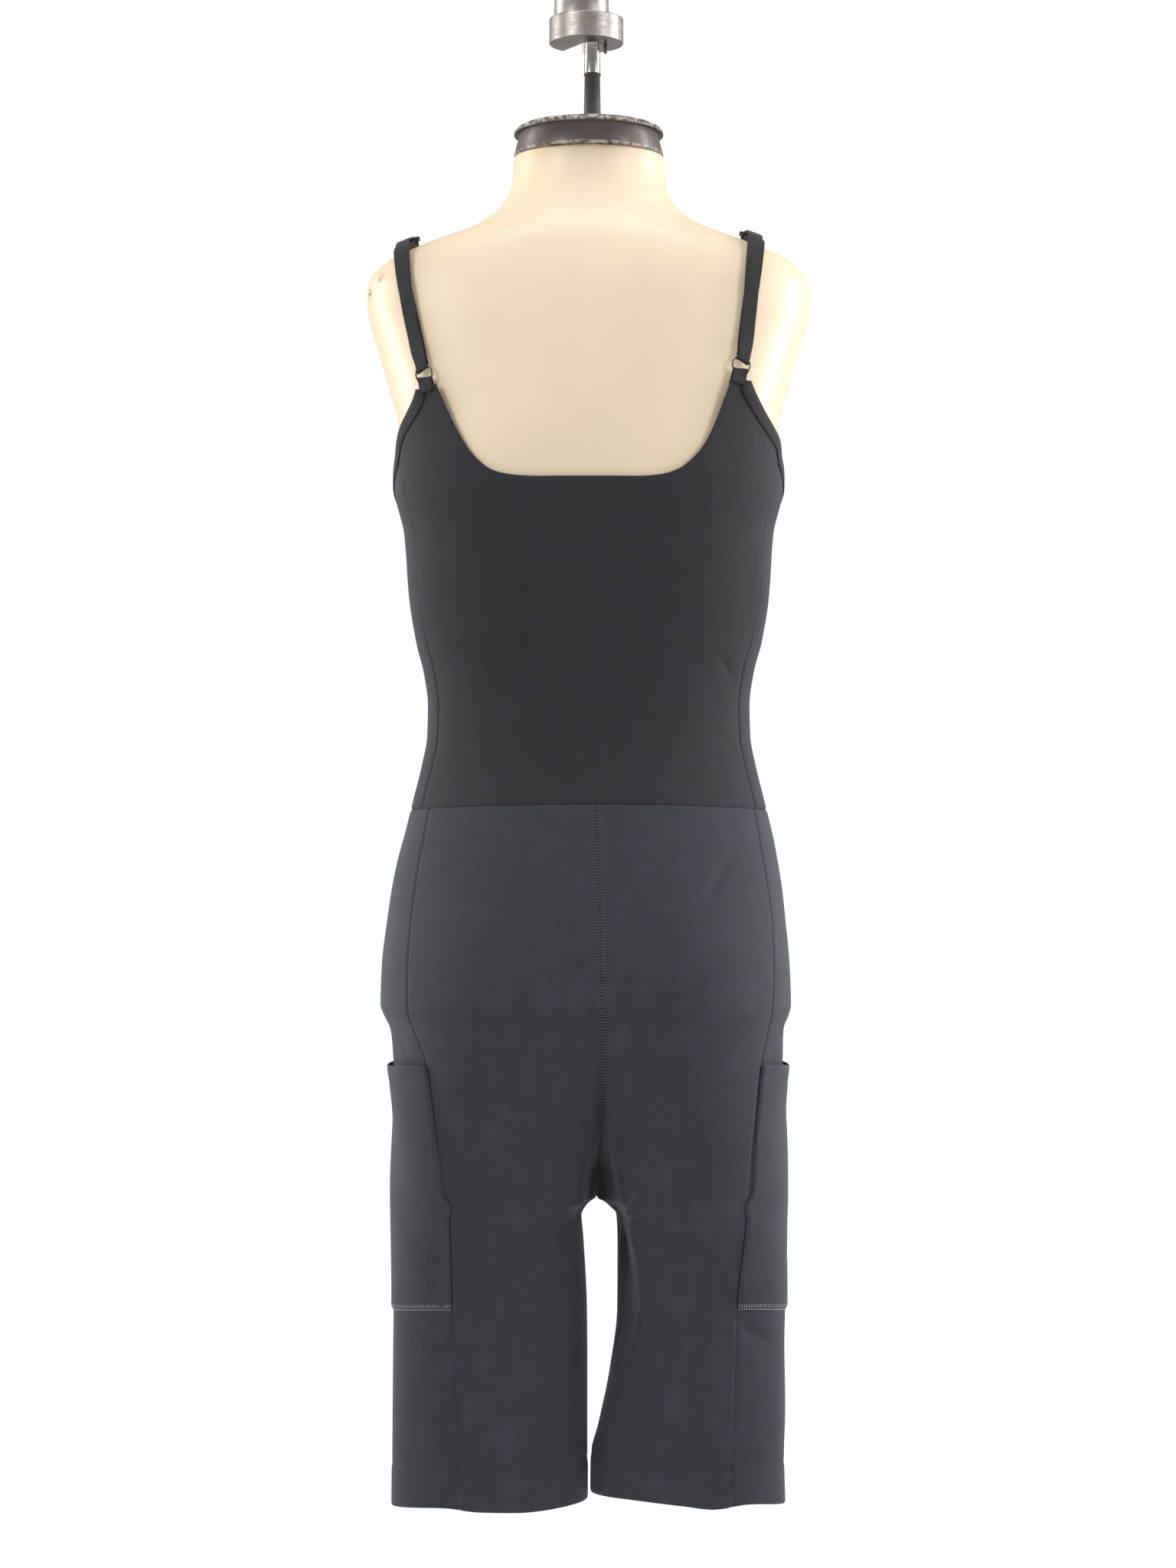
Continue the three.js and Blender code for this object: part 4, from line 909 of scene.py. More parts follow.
def smoothRows(rows, perRow):
    # a smooth curve through rows of any width, with perRow stops from each row to the next
    p = np.array(rows, float)
    ends = np.vstack([2 * p[0] - p[1], p, 2 * p[-1] - p[-2]])
    found = []
    for i in range(len(p) - 1):
        a, b, c, d = ends[i : i + 4]
        gaps = [max(np.linalg.norm(q), 1e-6) ** 0.5 for q in (b - a, c - b, d - c)]
        t = np.concatenate([[0], np.cumsum(gaps)])
        s = np.linspace(t[1], t[2], perRow, endpoint=False)[:, None]
        lean = lambda u, v, k, l: u + (v - u) * (s - t[k]) / (t[l] - t[k])
        ab, bc, cd = lean(a, b, 0, 1), lean(b, c, 1, 2), lean(c, d, 2, 3)
        found.append(lean(lean(ab, bc, 0, 2), lean(bc, cd, 1, 3), 1, 2))
    return np.vstack(found + [p[-1:]])


def evenly(route, stops):
    run = np.concatenate([[0], np.cumsum(np.linalg.norm(np.diff(route, axis=0), axis=1))])
    return np.column_stack([np.interp(stops * run[-1], run, column) for column in route.T])


edgeStep = 2.4
bindingCount = 44


def bodiceEdge(face, side):
    # the armhole and the neckline as (along, height), from the side seam to the middle
    isFront = face == "front"
    key = face if isFront else (face, side)
    asAlong = lambda rows: [
        (float(alongOf(side, shareAtOut(side, h, out, isFront), h)), h) for out, h in rows
    ]
    seamTop = underarm[side]
    start = [(float(alongOf(side, bodiceSeam[side](seamTop), seamTop)), seamTop)]
    dip = [(float(alongOf(side, share, h)), h) for share, h in underarmDip] if isFront else []
    armhole = smoothRows(start + dip + asAlong(armholeCurve[key]), 12)
    neckline = smoothRows(asAlong(necklineCurve[key]), 12)
    neckline[-1, 0] = float(wholeRun(side)(neckline[-1, 1])) if isFront else 0
    return armhole, neckline


def stepped(route, step):
    length = np.linalg.norm(np.diff(route, axis=0), axis=1).sum()
    return evenly(route, np.linspace(0, 1, max(2, round(length / step)) + 1))


def away(points, route):
    # how far points lie from a route, in the flat
    a, b = route[:-1], route[1:]
    span = b - a
    found = np.full(len(points), np.inf)
    for start, way in zip(a, span):
        t = np.clip(((points - start) @ way) / max(way @ way, 1e-9), 0, 1)
        found = np.minimum(found, np.linalg.norm(points - start - t[:, None] * way, axis=1))
    return found


def isInside(points, outline):
    x, y = points.T
    inside = np.zeros(len(points), bool)
    for (ax, ay), (bx, by) in zip(outline, np.roll(outline, -1, axis=0)):
        crosses = (ay > y) != (by > y)
        inside ^= crosses & (x < ax + (y - ay) / (by - ay if by != ay else 1) * (bx - ax))
    return inside


panelFill = {"spacing": 3.1, "rows": (0.6, 1.3, 2.2, 3.4)}


def fillOutline(outline):
    # flat corners and triangles of a panel: its outline, rows beside it and an even inside
    lean = np.roll(outline, -1, axis=0) - np.roll(outline, 1, axis=0)
    lean /= np.linalg.norm(lean, axis=1)[:, None]
    inward = np.column_stack([lean[:, 1], -lean[:, 0]])
    if not isInside(outline[:1] + inward[:1] * 0.5, outline)[0]:
        inward = -inward
    closed = np.vstack([outline, outline[:1]])
    parts = [outline]
    for reach in panelFill["rows"]:
        row = outline + inward * reach
        parts.append(row[isInside(row, outline) & (away(row, closed) > reach * 0.93)])
    step = panelFill["spacing"]
    low, high = outline.min(axis=0), outline.max(axis=0)
    across, up = np.meshgrid(np.arange(low[0], high[0], step), np.arange(low[1], high[1], step * 0.9))
    across = across + np.where(np.arange(len(across)) % 2, step / 2, 0)[:, None]
    inner = np.column_stack([across.ravel(), up.ravel()])
    inner = inner[isInside(inner, outline)]
    parts.append(inner[away(inner, closed) > panelFill["rows"][-1] + step * 0.6])
    points = np.vstack(parts)
    around = [(i, (i + 1) % len(outline)) for i in range(len(outline))]
    made = delaunay_2d_cdt([Vector(p) for p in points.tolist()], around, [], 0, 1e-5, False)
    flat, triangles = np.array([list(p) for p in made[0]]), np.array(made[2])
    return flat, triangles[isInside(flat[triangles].mean(axis=1), outline)]


def bodiceOutline(face):
    # flat: millimetres right of the middle, and height
    isFront = face == "front"
    towards = 1 if isFront else -1
    seams, edges = {}, {}
    for side in (-1, 1):
        armhole, neckline = bodiceEdge(face, side)
        heights = np.arange(waistHeight, underarm[side], 3.0)
        seam = np.column_stack([
            alongOf(side, bodiceSeam[side](heights), heights) + towards * seamMeet / 2, heights,
        ])
        seam[0, 1] += seamMeet / 2
        seams[side] = stepped(seam, 2.6)
        armhole = armhole.copy()
        armhole[0, 0] += towards * seamMeet / 2
        edges[side] = np.vstack([stepped(armhole, edgeStep), stepped(neckline, edgeStep)])
        for route in (seams[side], edges[side]):
            distance = wholeRun(side)(route[:, 1]) - route[:, 0] if isFront else route[:, 0]
            route[:, 0] = side * distance
    lowAcross = np.linspace(seams[1][0, 0], seams[-1][0, 0], 110)
    sides = np.where(lowAcross < 0, -1, 1)
    runs = np.where(sides < 0, runAt(-1, waistHeight, isFront), runAt(1, waistHeight, isFront))
    shares = np.abs(lowAcross) / runs
    waist = np.column_stack([lowAcross, waistAt(2 - shares if isFront else shares) + seamMeet / 2])
    outline = np.vstack([
        seams[-1], edges[-1][:-1], edges[1][::-1], seams[1][::-1], waist[1:-1],
    ])
    return outline, (seams[-1], seams[1]), waist, edges


def makeBodice():
    for face in ("back", "front"):
        isFront = face == "front"
        outline, seams, waist, edges = bodiceOutline(face)
        flat, triangles = fillOutline(outline)
        side = np.where(flat[:, 0] < 0, -1, 1)
        height = flat[:, 1]
        fromSeams = np.minimum(away(flat, seams[0]), away(flat, seams[1]))
        fromWaist = away(flat, waist)
        fromEdge = np.minimum(away(flat, edges[-1]), away(flat, edges[1]))
        lift = rolled(fromSeams) * mix(1, 0.25, smoothStep(height, 690, 750)) + rolled(fromWaist)
        lift = lift + 0.3 * smoothStep(-fromEdge, -bindingWidth, -bindingWidth + 2.5)
        lift = lift - 0.3 * (1 - np.clip(fromEdge / 1.4, 0, 1)) ** 2
        points, beyond = np.empty((len(flat), 3)), np.empty((len(flat), 3))
        for one in (-1, 1):
            here = side == one
            out, h = np.abs(flat[here, 0]), height[here]
            along = wholeRun(one)(h) - out if isFront else out
            share = shareOf(one, along, h)
            points[here] = placeCloth(one, share, h, lift[here])
            beyond[here] = placeCloth(one, share, h, lift[here] + 1)
        placed = toFrame(points)
        bm = bmesh.new()
        uvLayer = bm.loops.layers.uv.verify()
        edgeLayer = bm.verts.layers.float.new("edge")
        nearest = np.minimum(np.minimum(fromSeams, fromWaist), fromEdge)
        verts = [bm.verts.new(p) for p in placed]
        for vert, near in zip(verts, nearest):
            vert[edgeLayer] = math.exp(-((near / 1.6) ** 2))
        for corners in triangles:
            made = bm.faces.new([verts[k] for k in corners])
            for loop, k in zip(made.loops, corners):
                loop[uvLayer].uv = flat[k] * mm
        bm.normal_update()
        bm.faces.ensure_lookup_table()
        middle = bm.faces[len(bm.faces) // 2]
        outward = (beyond - points)[triangles[len(triangles) // 2][0]]
        if middle.normal.dot(Vector(outward)) < 0:
            bmesh.ops.reverse_faces(bm, faces=bm.faces[:])
        piece = addPiece(face + "_bodice", bm, finishes["bodice"], ["bodice_" + face], "bodice_knit")
        giveWall(piece, clothWall)


# the binding wraps the armhole's edge: millimetres in from the edge, and lift
bindingSection = [(1.6, -2.5), (-0.4, -2.3), (-1, -1.2), (-1, 0.2), (-0.5, 1.1), (0.6, 1.45), (2.2, 1.5),
                  (5, 1.5), (5.7, 1.45), (6.3, 1.05), (6.9, 1.5), (7.9, 1.5), (8.5, 1), (9.1, 1.35), (9.8, 1.1),
                  (10, 0.6)]


def bindingRoute(side):
    # the armhole's edge and the line inside it, from the back strap point round to the front one
    outer = []
    for face in ("back", "front"):
        outer.append(bodiceEdge(face, side)[0])
    route = np.vstack([outer[0][::-1], outer[1][1:]])
    route = evenly(route, np.linspace(0, 1, 2 * bindingCount + 1))
    lean = np.gradient(route, axis=0)
    lean /= np.linalg.norm(lean, axis=1)[:, None]
    return route, route + np.column_stack([lean[:, 1], -lean[:, 0]]) * bindingWidth


def makeBindings():
    for side in (-1, 1):
        outer, inner = bindingRoute(side)
        across = np.array([row[0] for row in bindingSection])[:, None] / bindingWidth
        lift = np.array([row[1] for row in bindingSection])[:, None] + 0 * outer[:, 0]
        height = outer[:, 1] + (inner[:, 1] - outer[:, 1]) * across
        along = outer[:, 0] + (inner[:, 0] - outer[:, 0]) * across
        run = np.concatenate([[0], np.cumsum(np.linalg.norm(np.diff(outer, axis=0), axis=1))])
        uv = np.stack([across * bindingWidth * mm + 0 * height, run * mm + 0 * height], axis=-1)
        addCloth(
            "armhole_trim_" + sideNames[side], side, shareOf(side, along, height), height, lift,
            {"material": finishes["bodice"], "slot": "bodice_knit", "wall": 0.7, "rim": 0.2,
             "replaces": ["armhole_binding_" + sideNames[side]]},
            np.zeros(height.shape), uv,
        )


# Straps and their hardware

strapCut = {"width": 12.4, "loopWidth": 11, "tabWidth": 12.2, "wall": 1.0, "sewnLift": 3 * seamGap + 1 + 0.5}
strapBack = {
    # height, out, outer, under: where the strap runs, and how far each layer stands off the form
    -1: [(953, 135.8, 6.2, 3.6), (969, 139.9, 5, 2.7), (988, 144, 5, 2.6), (1008, 147.4, 5, 2.6),
         (1030, 149, 6, 3.2), (1040, 149.4, 8.6, 5)],
    1: [(959, 124.9, 6.2, 3.6), (975, 127.3, 5, 2.7), (994, 129.4, 5, 2.6), (1014, 131, 5, 2.6),
        (1036, 132.8, 6, 3.2), (1045, 133.4, 9, 5.2)],
}
strapCrown = {
    # out, depth, height
    -1: [(149.4, -24, 1053.6), (149.2, -13, 1055.6)],
    1: [(134, -24, 1058), (134, -13, 1060)],
}
strapDown = {
    -1: [(148.6, 18, 1054.4), (148, 32, 1050.4), (147, 43, 1044)],
    1: [(133.6, 18, 1058.8), (133.2, 33, 1055.2), (133, 45, 1049.6)],
}
strapFront = {
    # height, out, stand
    -1: [(1026, 145.5, 5), (1008, 143.6, 4.2), (986, 139.6, 4), (964, 134.6, 4.4), (946, 130.4, 6.4)],
    1: [(1030, 133, 5), (1010, 133.4, 4.2), (986, 132.2, 4), (964, 129.6, 4.4), (946, 127.6, 6.4)],
}
strapEnd = [(932, 126.6), (921, 126), (909, 125.6)]
ringAt = {-1: (130.4, 934.3), 1: (120.8, 940.3)}
ringSize = {"radius": 7.9, "wire": 0.75, "stand": 6.2, "lean": 0.26, "strapTurn": 0.28, "tabTurn": -0.22}
sliderAt = {-1: (149, 0, 1056.5), 1: (133.8, 0, 1060.9)}
sliderCut = {"length": 14.4, "breadth": 16.4, "thick": 1.5, "bar": 1.4, "tilt": 0.28}
loopGap = 1.5


def formDepth(out, height, isFront):
    row = height / levelStep
    i = int(row)
    xs, ys = (mix(formSurface[1][k][i], formSurface[1][k][i + 1], row - i) for k in ("x", "y"))
    part = slice(shareCount // 2, None) if isFront else slice(0, shareCount // 2 + 1)
    order = np.argsort(xs[part])
    return abs(float(np.interp(out, xs[part][order], ys[part][order])))


def besideForm(side, out, height, isFront, stand):
    depth = formDepth(out, height, isFront)
    acrossSlope = (formDepth(out + 1, height, isFront) - formDepth(out - 1, height, isFront)) / 2
    upSlope = (formDepth(out, height + 1, isFront) - formDepth(out, height - 1, isFront)) / 2
    facing = 1 if isFront else -1
    normal = Vector((-side * acrossSlope, facing, -upSlope)).normalized()
    return Vector((side * out, facing * depth, height)) + normal * stand, normal


def ringFrame(side):
    out, height = ringAt[side]
    centre, face = besideForm(side, out, height, False, ringSize["stand"])
    up = Vector((side * ringSize["lean"], 0, 1))
    up = (up - face * up.dot(face)).normalized()
    return centre, face, up, up.cross(face).normalized()


def ringLoop(side, direction):
    # a loop of strap through the ring, from its inner layer to its outer one
    centre, face, up, _ = ringFrame(side)
    at = lambda rise, stand: centre + up * (direction * rise) + face * stand
    angles = [math.pi * k / 6 for k in range(7)]
    turn = [at(4.5 - loopGap * math.sin(a), -loopGap * math.cos(a)) for a in angles]
    far = ringSize["radius"] + 2.2
    return [at(far, -loopGap)] + turn + [at(far, loopGap)]


def strapStops(side):
    # each stop: middle, width, and the direction across or the normal of what it lies on
    _, _, ringUp, ringAcross = ringFrame(side)
    ringAcross = (ringAcross - ringUp * side * ringSize["strapTurn"]).normalized()
    slider = Vector(sliderAt[side])
    slider.x *= side
    place = lambda out, depth, height: Vector((side * out, depth, height))
    crown = Vector((side * sliderCut["tilt"], 0, 1)).normalized()
    stops = []
    onCrown = lambda middle: stops.append((middle, strapCut["width"], None, crown))

    def onForm(out, height, isFront, stand):
        middle, normal = besideForm(side, out, height, isFront, stand)
        stops.append((middle, strapCut["width"], None, normal))

    # the sewn end lies under the slider, then the under layer runs down to the ring
    onCrown(slider + place(1.2, -1, -4.4))
    onCrown(slider + place(1.8, -10, -4.6))
    onCrown(place(*strapCrown[side][0]) + place(2.2, 1.5, -3.4))
    for height, out, _, under in reversed(strapBack[side]):
        onForm(out + 3.2 * float(smoothStep(height, 975, 1040)), height, False, under)
    for middle in ringLoop(side, 1):
        stops.append((middle, strapCut["loopWidth"], ringAcross, None))
    for height, out, outer, _ in strapBack[side]:
        onForm(out, height, False, outer)
    for row in strapCrown[side]:
        onCrown(place(*row))
    # through the slider: under its first bar, over the middle one and under the last
    weave = [(-8, -1.9), (-6.3, -1.9), (-5.3, -1.7), (-3.2, 0), (-1, 1.8), (0, 1.9)]
    for depth, lift in weave + [(-depth, lift) for depth, lift in reversed(weave[:-1])]:
        onCrown(slider + place(0, depth, 0) + crown * lift)
    for row in strapDown[side]:
        onCrown(place(*row))
    for height, out, stand in strapFront[side]:
        onForm(out, height, True, stand)
    for height, out in strapEnd:
        share = shareAtOut(side, height, out, True)
        middle = Vector(placeCloth(side, share, height, strapCut["sewnLift"]).tolist())
        stops.append((middle, strapCut["width"], None, besideForm(side, out, height, True, 0)[1]))
    return stops


def tabStops(side):
    # behind the cloth, round the ring and down over the cloth and the binding
    centre, face, up, across = ringFrame(side)
    across = (across - up * side * ringSize["tabTurn"]).normalized()
    down = lambda drop, stand: centre - up * drop + face * stand
    middles = [down(17, -2.9)] + ringLoop(side, -1) + [down(12, 2.7), down(15, 3.3)]
    return [(middle, strapCut["tabWidth"], across, None) for middle in middles]


def addRibbon(name, stops, material, replaced):
    last = len(stops) - 1
    frames = []
    for i, (middle, width, across, normal) in enumerate(stops):
        along = (stops[min(i + 1, last)][0] - stops[max(i - 1, 0)][0]).normalized()
        across = across.copy() if across else along.cross(normal)
        if across.x < 0:
            across.negate()
        across = (across - along * across.dot(along)).normalized()
        frames.append((*middle, *(across * 20), width))
    fine = smoothRows(frames, 4)
    middles, acrosses, widths = fine[:, :3], fine[:, 3:6], fine[:, 6:]
    alongs = np.gradient(middles, axis=0)
    alongs /= np.linalg.norm(alongs, axis=1)[:, None]
    acrosses -= alongs * (acrosses * alongs).sum(axis=1)[:, None]
    acrosses /= np.linalg.norm(acrosses, axis=1)[:, None]
    faces = np.cross(acrosses, alongs)
    across = np.array([-0.5, -0.47, -0.4, -0.2, 0, 0.2, 0.4, 0.47, 0.5])
    dip = -0.18 * np.abs(across * 2) ** 8
    points = (
        middles[:, None] + acrosses[:, None] * (widths * across)[..., None] + faces[:, None] * dip[:, None]
    )
    run = np.concatenate([[0], np.cumsum(np.linalg.norm(np.diff(middles, axis=0), axis=1))])
    uv = np.stack([widths * across * mm, run[:, None] * mm + 0 * across], axis=-1)
    bm = bmesh.new()
    addGrid(bm, points, np.broadcast_to(faces[:, None], points.shape), uv)
    piece = addPiece(name, bm, material, [replaced], "strap_elastic")
    giveWall(piece, strapCut["wall"] * 0.9, 0.22, 0)
    return piece


def addRing(side):
    centre, face, up, across = ringFrame(side)
    bm = bmesh.new()
    made = bmesh.ops.create_circle(bm, segments=14, radius=ringSize["wire"] * mm)
    bmesh.ops.rotate(bm, verts=made["verts"], matrix=Matrix.Rotation(math.pi / 2, 3, "X"))
    bmesh.ops.translate(bm, verts=made["verts"], vec=(ringSize["radius"] * mm, 0, 0))
    bmesh.ops.spin(
        bm, geom=bm.verts[:] + bm.edges[:], axis=(0, 0, 1), cent=(0, 0, 0), angle=2 * math.pi,
        steps=72, use_merge=True,
    )
    bmesh.ops.remove_doubles(bm, verts=bm.verts[:], dist=1e-6)
    bmesh.ops.recalc_face_normals(bm, faces=bm.faces[:])
    turn = Matrix((across, up, face)).transposed().to_4x4()
    at = Matrix.Translation(Vector(toFrame(centre).tolist()))
    bmesh.ops.transform(bm, verts=bm.verts[:], matrix=at @ turn)
    name = sideNames[side]
    addPiece("strap_loop_ring_" + name, bm, finishes["ring"], ["strap_ring_" + name], "ring_metal")


def addSlider(side):
    # a flat frame with two slots, cut from a sheet and thickened
    length, breadth = sliderCut["length"], sliderCut["breadth"]
    bar = sliderCut["bar"]
    xs = np.array([-breadth / 2, -strapCut["width"] / 2 - 0.5, strapCut["width"] / 2 + 0.5, breadth / 2])
    ys = np.array([-length / 2, -length / 2 + bar, -bar / 2, bar / 2, length / 2 - bar, length / 2])
    bm = bmesh.new()
    bmesh.ops.create_grid(bm, x_segments=3, y_segments=5, size=0.5)
    for vert in bm.verts:
        vert.co = (xs[round((vert.co.x + 0.5) * 3)], ys[round((vert.co.y + 0.5) * 5)], 0)
    isSlot = lambda face: (
        abs(face.calc_center_median().x) < 1 and bar < abs(face.calc_center_median().y) < length / 2 - bar
    )
    bmesh.ops.delete(bm, geom=[face for face in bm.faces if isSlot(face)], context="FACES")
    turn = Matrix.Rotation(side * math.atan(sliderCut["tilt"]), 4, "Y")
    out, depth, height = sliderAt[side]
    at = Matrix.Translation(Vector(toFrame((side * out, depth, height)).tolist()))
    bmesh.ops.transform(bm, verts=bm.verts[:], matrix=at @ turn @ Matrix.Scale(mm, 4))
    name = sideNames[side]
    piece = addPiece("strap_adjuster_" + name, bm, finishes["slider"], ["strap_slider_" + name], "slider_plastic")
    giveWall(piece, sliderCut["thick"], 0.45, 0)
    piece.modifiers["rim"].segments = 3


def makeStraps():
    for side in (-1, 1):
        name = sideNames[side]
        addRibbon("shoulder_strap_" + name, strapStops(side), finishes["strap"], "strap_" + name)
        addRibbon("ring_holder_" + name, tabStops(side), finishes["strap"], "ring_tab_" + name)
        addRing(side)
        addSlider(side)


# Form and what it hangs by

formCut = {"bottom": 404, "top": 1125.7, "around": 96, "step": 5, "roundness": 9}


def makeForm():
    bottom, top = formCut["bottom"], formCut["top"]
    turnIn = formCut["roundness"]
    # the lower edge is rounded in: inset and height of each ring
    corner = [(turnIn * (1 - math.sin(a)), bottom + turnIn * (1 - math.cos(a)))
              for a in np.linspace(0, math.pi / 2, 7)]
    heights = [h for _, h in corner] + list(np.arange(bottom + turnIn + 4, 985, formCut["step"]))
    heights += list(np.arange(987, top - 1, 2.5)) + [top]
    insets = [inset for inset, _ in corner] + [0] * (len(heights) - len(corner))
    half = formCut["around"] // 2
    stops = np.linspace(0, 2, half + 1)
    rings = []
    for height, inset in zip(heights, insets):
        ring = []
        for side, shares in ((1, stops), (-1, stops[::-1])):
            level = np.full(len(shares), max(height, bottom + turnIn))
            x, y = (sampleGrid(formSurface[side][k], shares, level) for k in ("x", "y"))
            shrink = 1 - inset / np.hypot(x, y)
            ring.append(np.column_stack([side * x * shrink, y * shrink, np.full(len(x), height)]))
        rings.append(np.vstack([ring[0], ring[1][1:]]))
    points = np.array(rings)
    bm = bmesh.new()
    addGrid(bm, points, points * [1, 1, 0])
    bmesh.ops.remove_doubles(bm, verts=bm.verts[:], dist=1e-6)
    bmesh.ops.holes_fill(bm, edges=[edge for edge in bm.edges if edge.is_boundary], sides=0)
    bmesh.ops.recalc_face_normals(bm, faces=bm.faces[:])
    return addPiece("dress_form", bm, finishes["form"], ["form_torso"], "form_plastic")


def addTurned(name, rows, centre, material, replaced, slot, steps=96):
    # a piece turned on an upright axis, from rows of radius and height
    bm = bmesh.new()
    x, y = centre
    verts = [bm.verts.new((x + radius, y, height)) for radius, height in rows]
    edges = [bm.edges.new(pair) for pair in zip(verts, verts[1:])]
    bmesh.ops.spin(
        bm, geom=verts + edges, axis=(0, 0, 1), cent=(x, y, 0), angle=2 * math.pi, steps=steps, use_merge=True,
    )
    bmesh.ops.remove_doubles(bm, verts=bm.verts[:], dist=1e-4)
    bmesh.ops.recalc_face_normals(bm, faces=bm.faces[:])
    bmesh.ops.scale(bm, verts=bm.verts[:], vec=(mm, mm, mm))
    bmesh.ops.translate(bm, verts=bm.verts[:], vec=(0, 0, -stemTop * mm))
    piece = addPiece(name, bm, material, [replaced], slot)
    for polygon in piece.data.polygons:
        polygon.use_smooth = abs(polygon.normal.z) < 0.98
    return piece


def rounded(radius, height, size, isTop=True, steps=5):
    # rows of a rounded corner at the outer end of a turned piece
    found = []
    for k in range(steps + 1):
        a = math.pi / 2 * k / steps
        a = a if isTop else math.pi / 2 - a
        rise = size * (1 - math.sin(a))
        found.append((radius - size * (1 - math.cos(a)), height - rise if isTop else height + rise))
    return found


rig = {
    "cap": {"radius": 62.4, "low": 1126, "high": 1150, "y": -2, "corner": 6},
    "rod": {"x": 3, "radius": 7.3, "sleeveTop": 1196, "chrome": 6.8},
    "collar": {"x": -2, "radius": 31, "low": 1221, "high": 1242, "slot": 16.6, "turn": 3.69, "bore": 8.5},
    "stem": {"x": -6, "radius": 23},
    "pin": {"x": 14, "y": -3, "radius": 1.4, "length": 8},
}


def addCollar():
    # a thick ring with a slot at its far left, into which the rod slides
    cut, rodX = rig["collar"], rig["rod"]["x"]
    half = cut["slot"] / 2
    centre, axis = Vector((cut["x"], 0)), Vector((rodX, 0))
    ahead = Vector((math.sin(cut["turn"]), -math.cos(cut["turn"])))
    beside = Vector((ahead.y, -ahead.x))

    def reach(offset):
        # how far along the slot its wall meets the outer round
        start = axis + beside * offset - centre
        along = start.dot(ahead)
        return -along + math.sqrt(along**2 - start.dot(start) + cut["radius"] ** 2)

    corners = [axis + beside * offset + ahead * reach(offset) for offset in (-half, half)]
    angles = [math.atan2((p - centre).y, (p - centre).x) for p in corners]
    sweep = (angles[1] - angles[0]) % (2 * math.pi)
    if sweep < math.pi:
        corners, angles, sweep = corners[::-1], angles[::-1], 2 * math.pi - sweep
        half = -half
    outline = [
        centre + Vector((math.cos(angles[0] + sweep * k / 90), math.sin(angles[0] + sweep * k / 90))) * cut["radius"]
        for k in range(91)
    ]
    inset = math.sqrt(cut["bore"] ** 2 - half**2)
    ends = [axis + beside * (sign * half) + ahead * inset for sign in (1, -1)]
    inner = [math.atan2((p - axis).y, (p - axis).x) for p in ends]
    back = (inner[1] - inner[0]) % (2 * math.pi)
    back = back - 2 * math.pi if back < math.pi else -(2 * math.pi - back) if back > math.pi else back
    outline += [
        axis + Vector((math.cos(inner[0] + back * k / 36), math.sin(inner[0] + back * k / 36))) * cut["bore"]
        for k in range(37)
    ]
    bm = bmesh.new()
    verts = [bm.verts.new((p.x, p.y, cut["low"] - stemTop)) for p in outline]
    face = bm.faces.new(verts)
    made = bmesh.ops.extrude_face_region(bm, geom=[face])
    raised = [v for v in made["geom"] if isinstance(v, bmesh.types.BMVert)]
    bmesh.ops.translate(bm, verts=raised, vec=(0, 0, cut["high"] - cut["low"]))
    bmesh.ops.recalc_face_normals(bm, faces=bm.faces[:])
    bmesh.ops.scale(bm, verts=bm.verts[:], vec=(mm, mm, mm))
    piece = addPiece("slotted_collar", bm, finishes["collar"], ["rod_collar"], "collar_steel")
    soft = piece.modifiers.new("rim", "BEVEL")
    soft.width, soft.segments, soft.limit_method = 0.9 * mm, 3, "ANGLE"
    soft.angle_limit = math.radians(40)
    sharp = piece.modifiers.new("flats", "WEIGHTED_NORMAL")
    sharp.keep_sharp = False


def makeRig():
    cap, rod, collar, stem, pin = (rig[k] for k in ("cap", "rod", "collar", "stem", "pin"))
    addTurned(
        "neck_lid",
        [(0, cap["low"])] + rounded(cap["radius"], cap["low"], 0.8, False)
        + rounded(cap["radius"], cap["high"], cap["corner"])[::-1] + [(0, cap["high"])],
        (0, cap["y"]), finishes["cap"], "neck_cap", "cap_paint", 128,
    )
    low, high = cap["high"] + seamGap, rod["sleeveTop"]
    addTurned(
        "grip_sleeve",
        [(0, low)] + rounded(rod["radius"], low, 0.6, False) + rounded(rod["radius"], high, 0.9)[::-1]
        + [(0, high)],
        (rod["x"], 0), finishes["sleeve"], "rod_sleeve", "rod_rubber", 64,
    )
    low, high = high + seamGap, collar["high"] - 0.4
    addTurned(
        "chrome_rod", [(0, low)] + rounded(rod["chrome"], low, 0.2, False)
        + rounded(rod["chrome"], high, 0.6)[::-1] + [(0, high)],
        (rod["x"], 0), finishes["rod"], "hanging_rod", "rod_chrome", 64,
    )
    addCollar()
    high = collar["low"] - seamGap
    addTurned(
        "stop_pin", [(0, high - pin["length"])] + rounded(pin["radius"], high - pin["length"], 0.4, False)
        + [(pin["radius"], high), (0, high)],
        (pin["x"], pin["y"]), finishes["sleeve"], "collar_pin", "rod_rubber", 24,
    )
    low = collar["high"] + seamGap
    addTurned(
        "top_stem", [(0, low)] + rounded(stem["radius"], low, 0.5, False)
        + rounded(stem["radius"], stemTop, 1)[::-1] + [(0, stemTop)],
        (stem["x"], 0), finishes["collar"], "hanging_stem", "collar_steel", 96,
    )


# Stitches: each is a small bead of thread, from one point of the cloth to another

stitch = {"pitch": 2.7, "length": 2.1, "lift": 0.12}
flatlock = {"half": 3.6, "pitch": 2.4, "slant": 1.5, "beads": 430}
pocketLock = {"low": 164.2, "high": 168, "pitch": 2, "cord": 163}


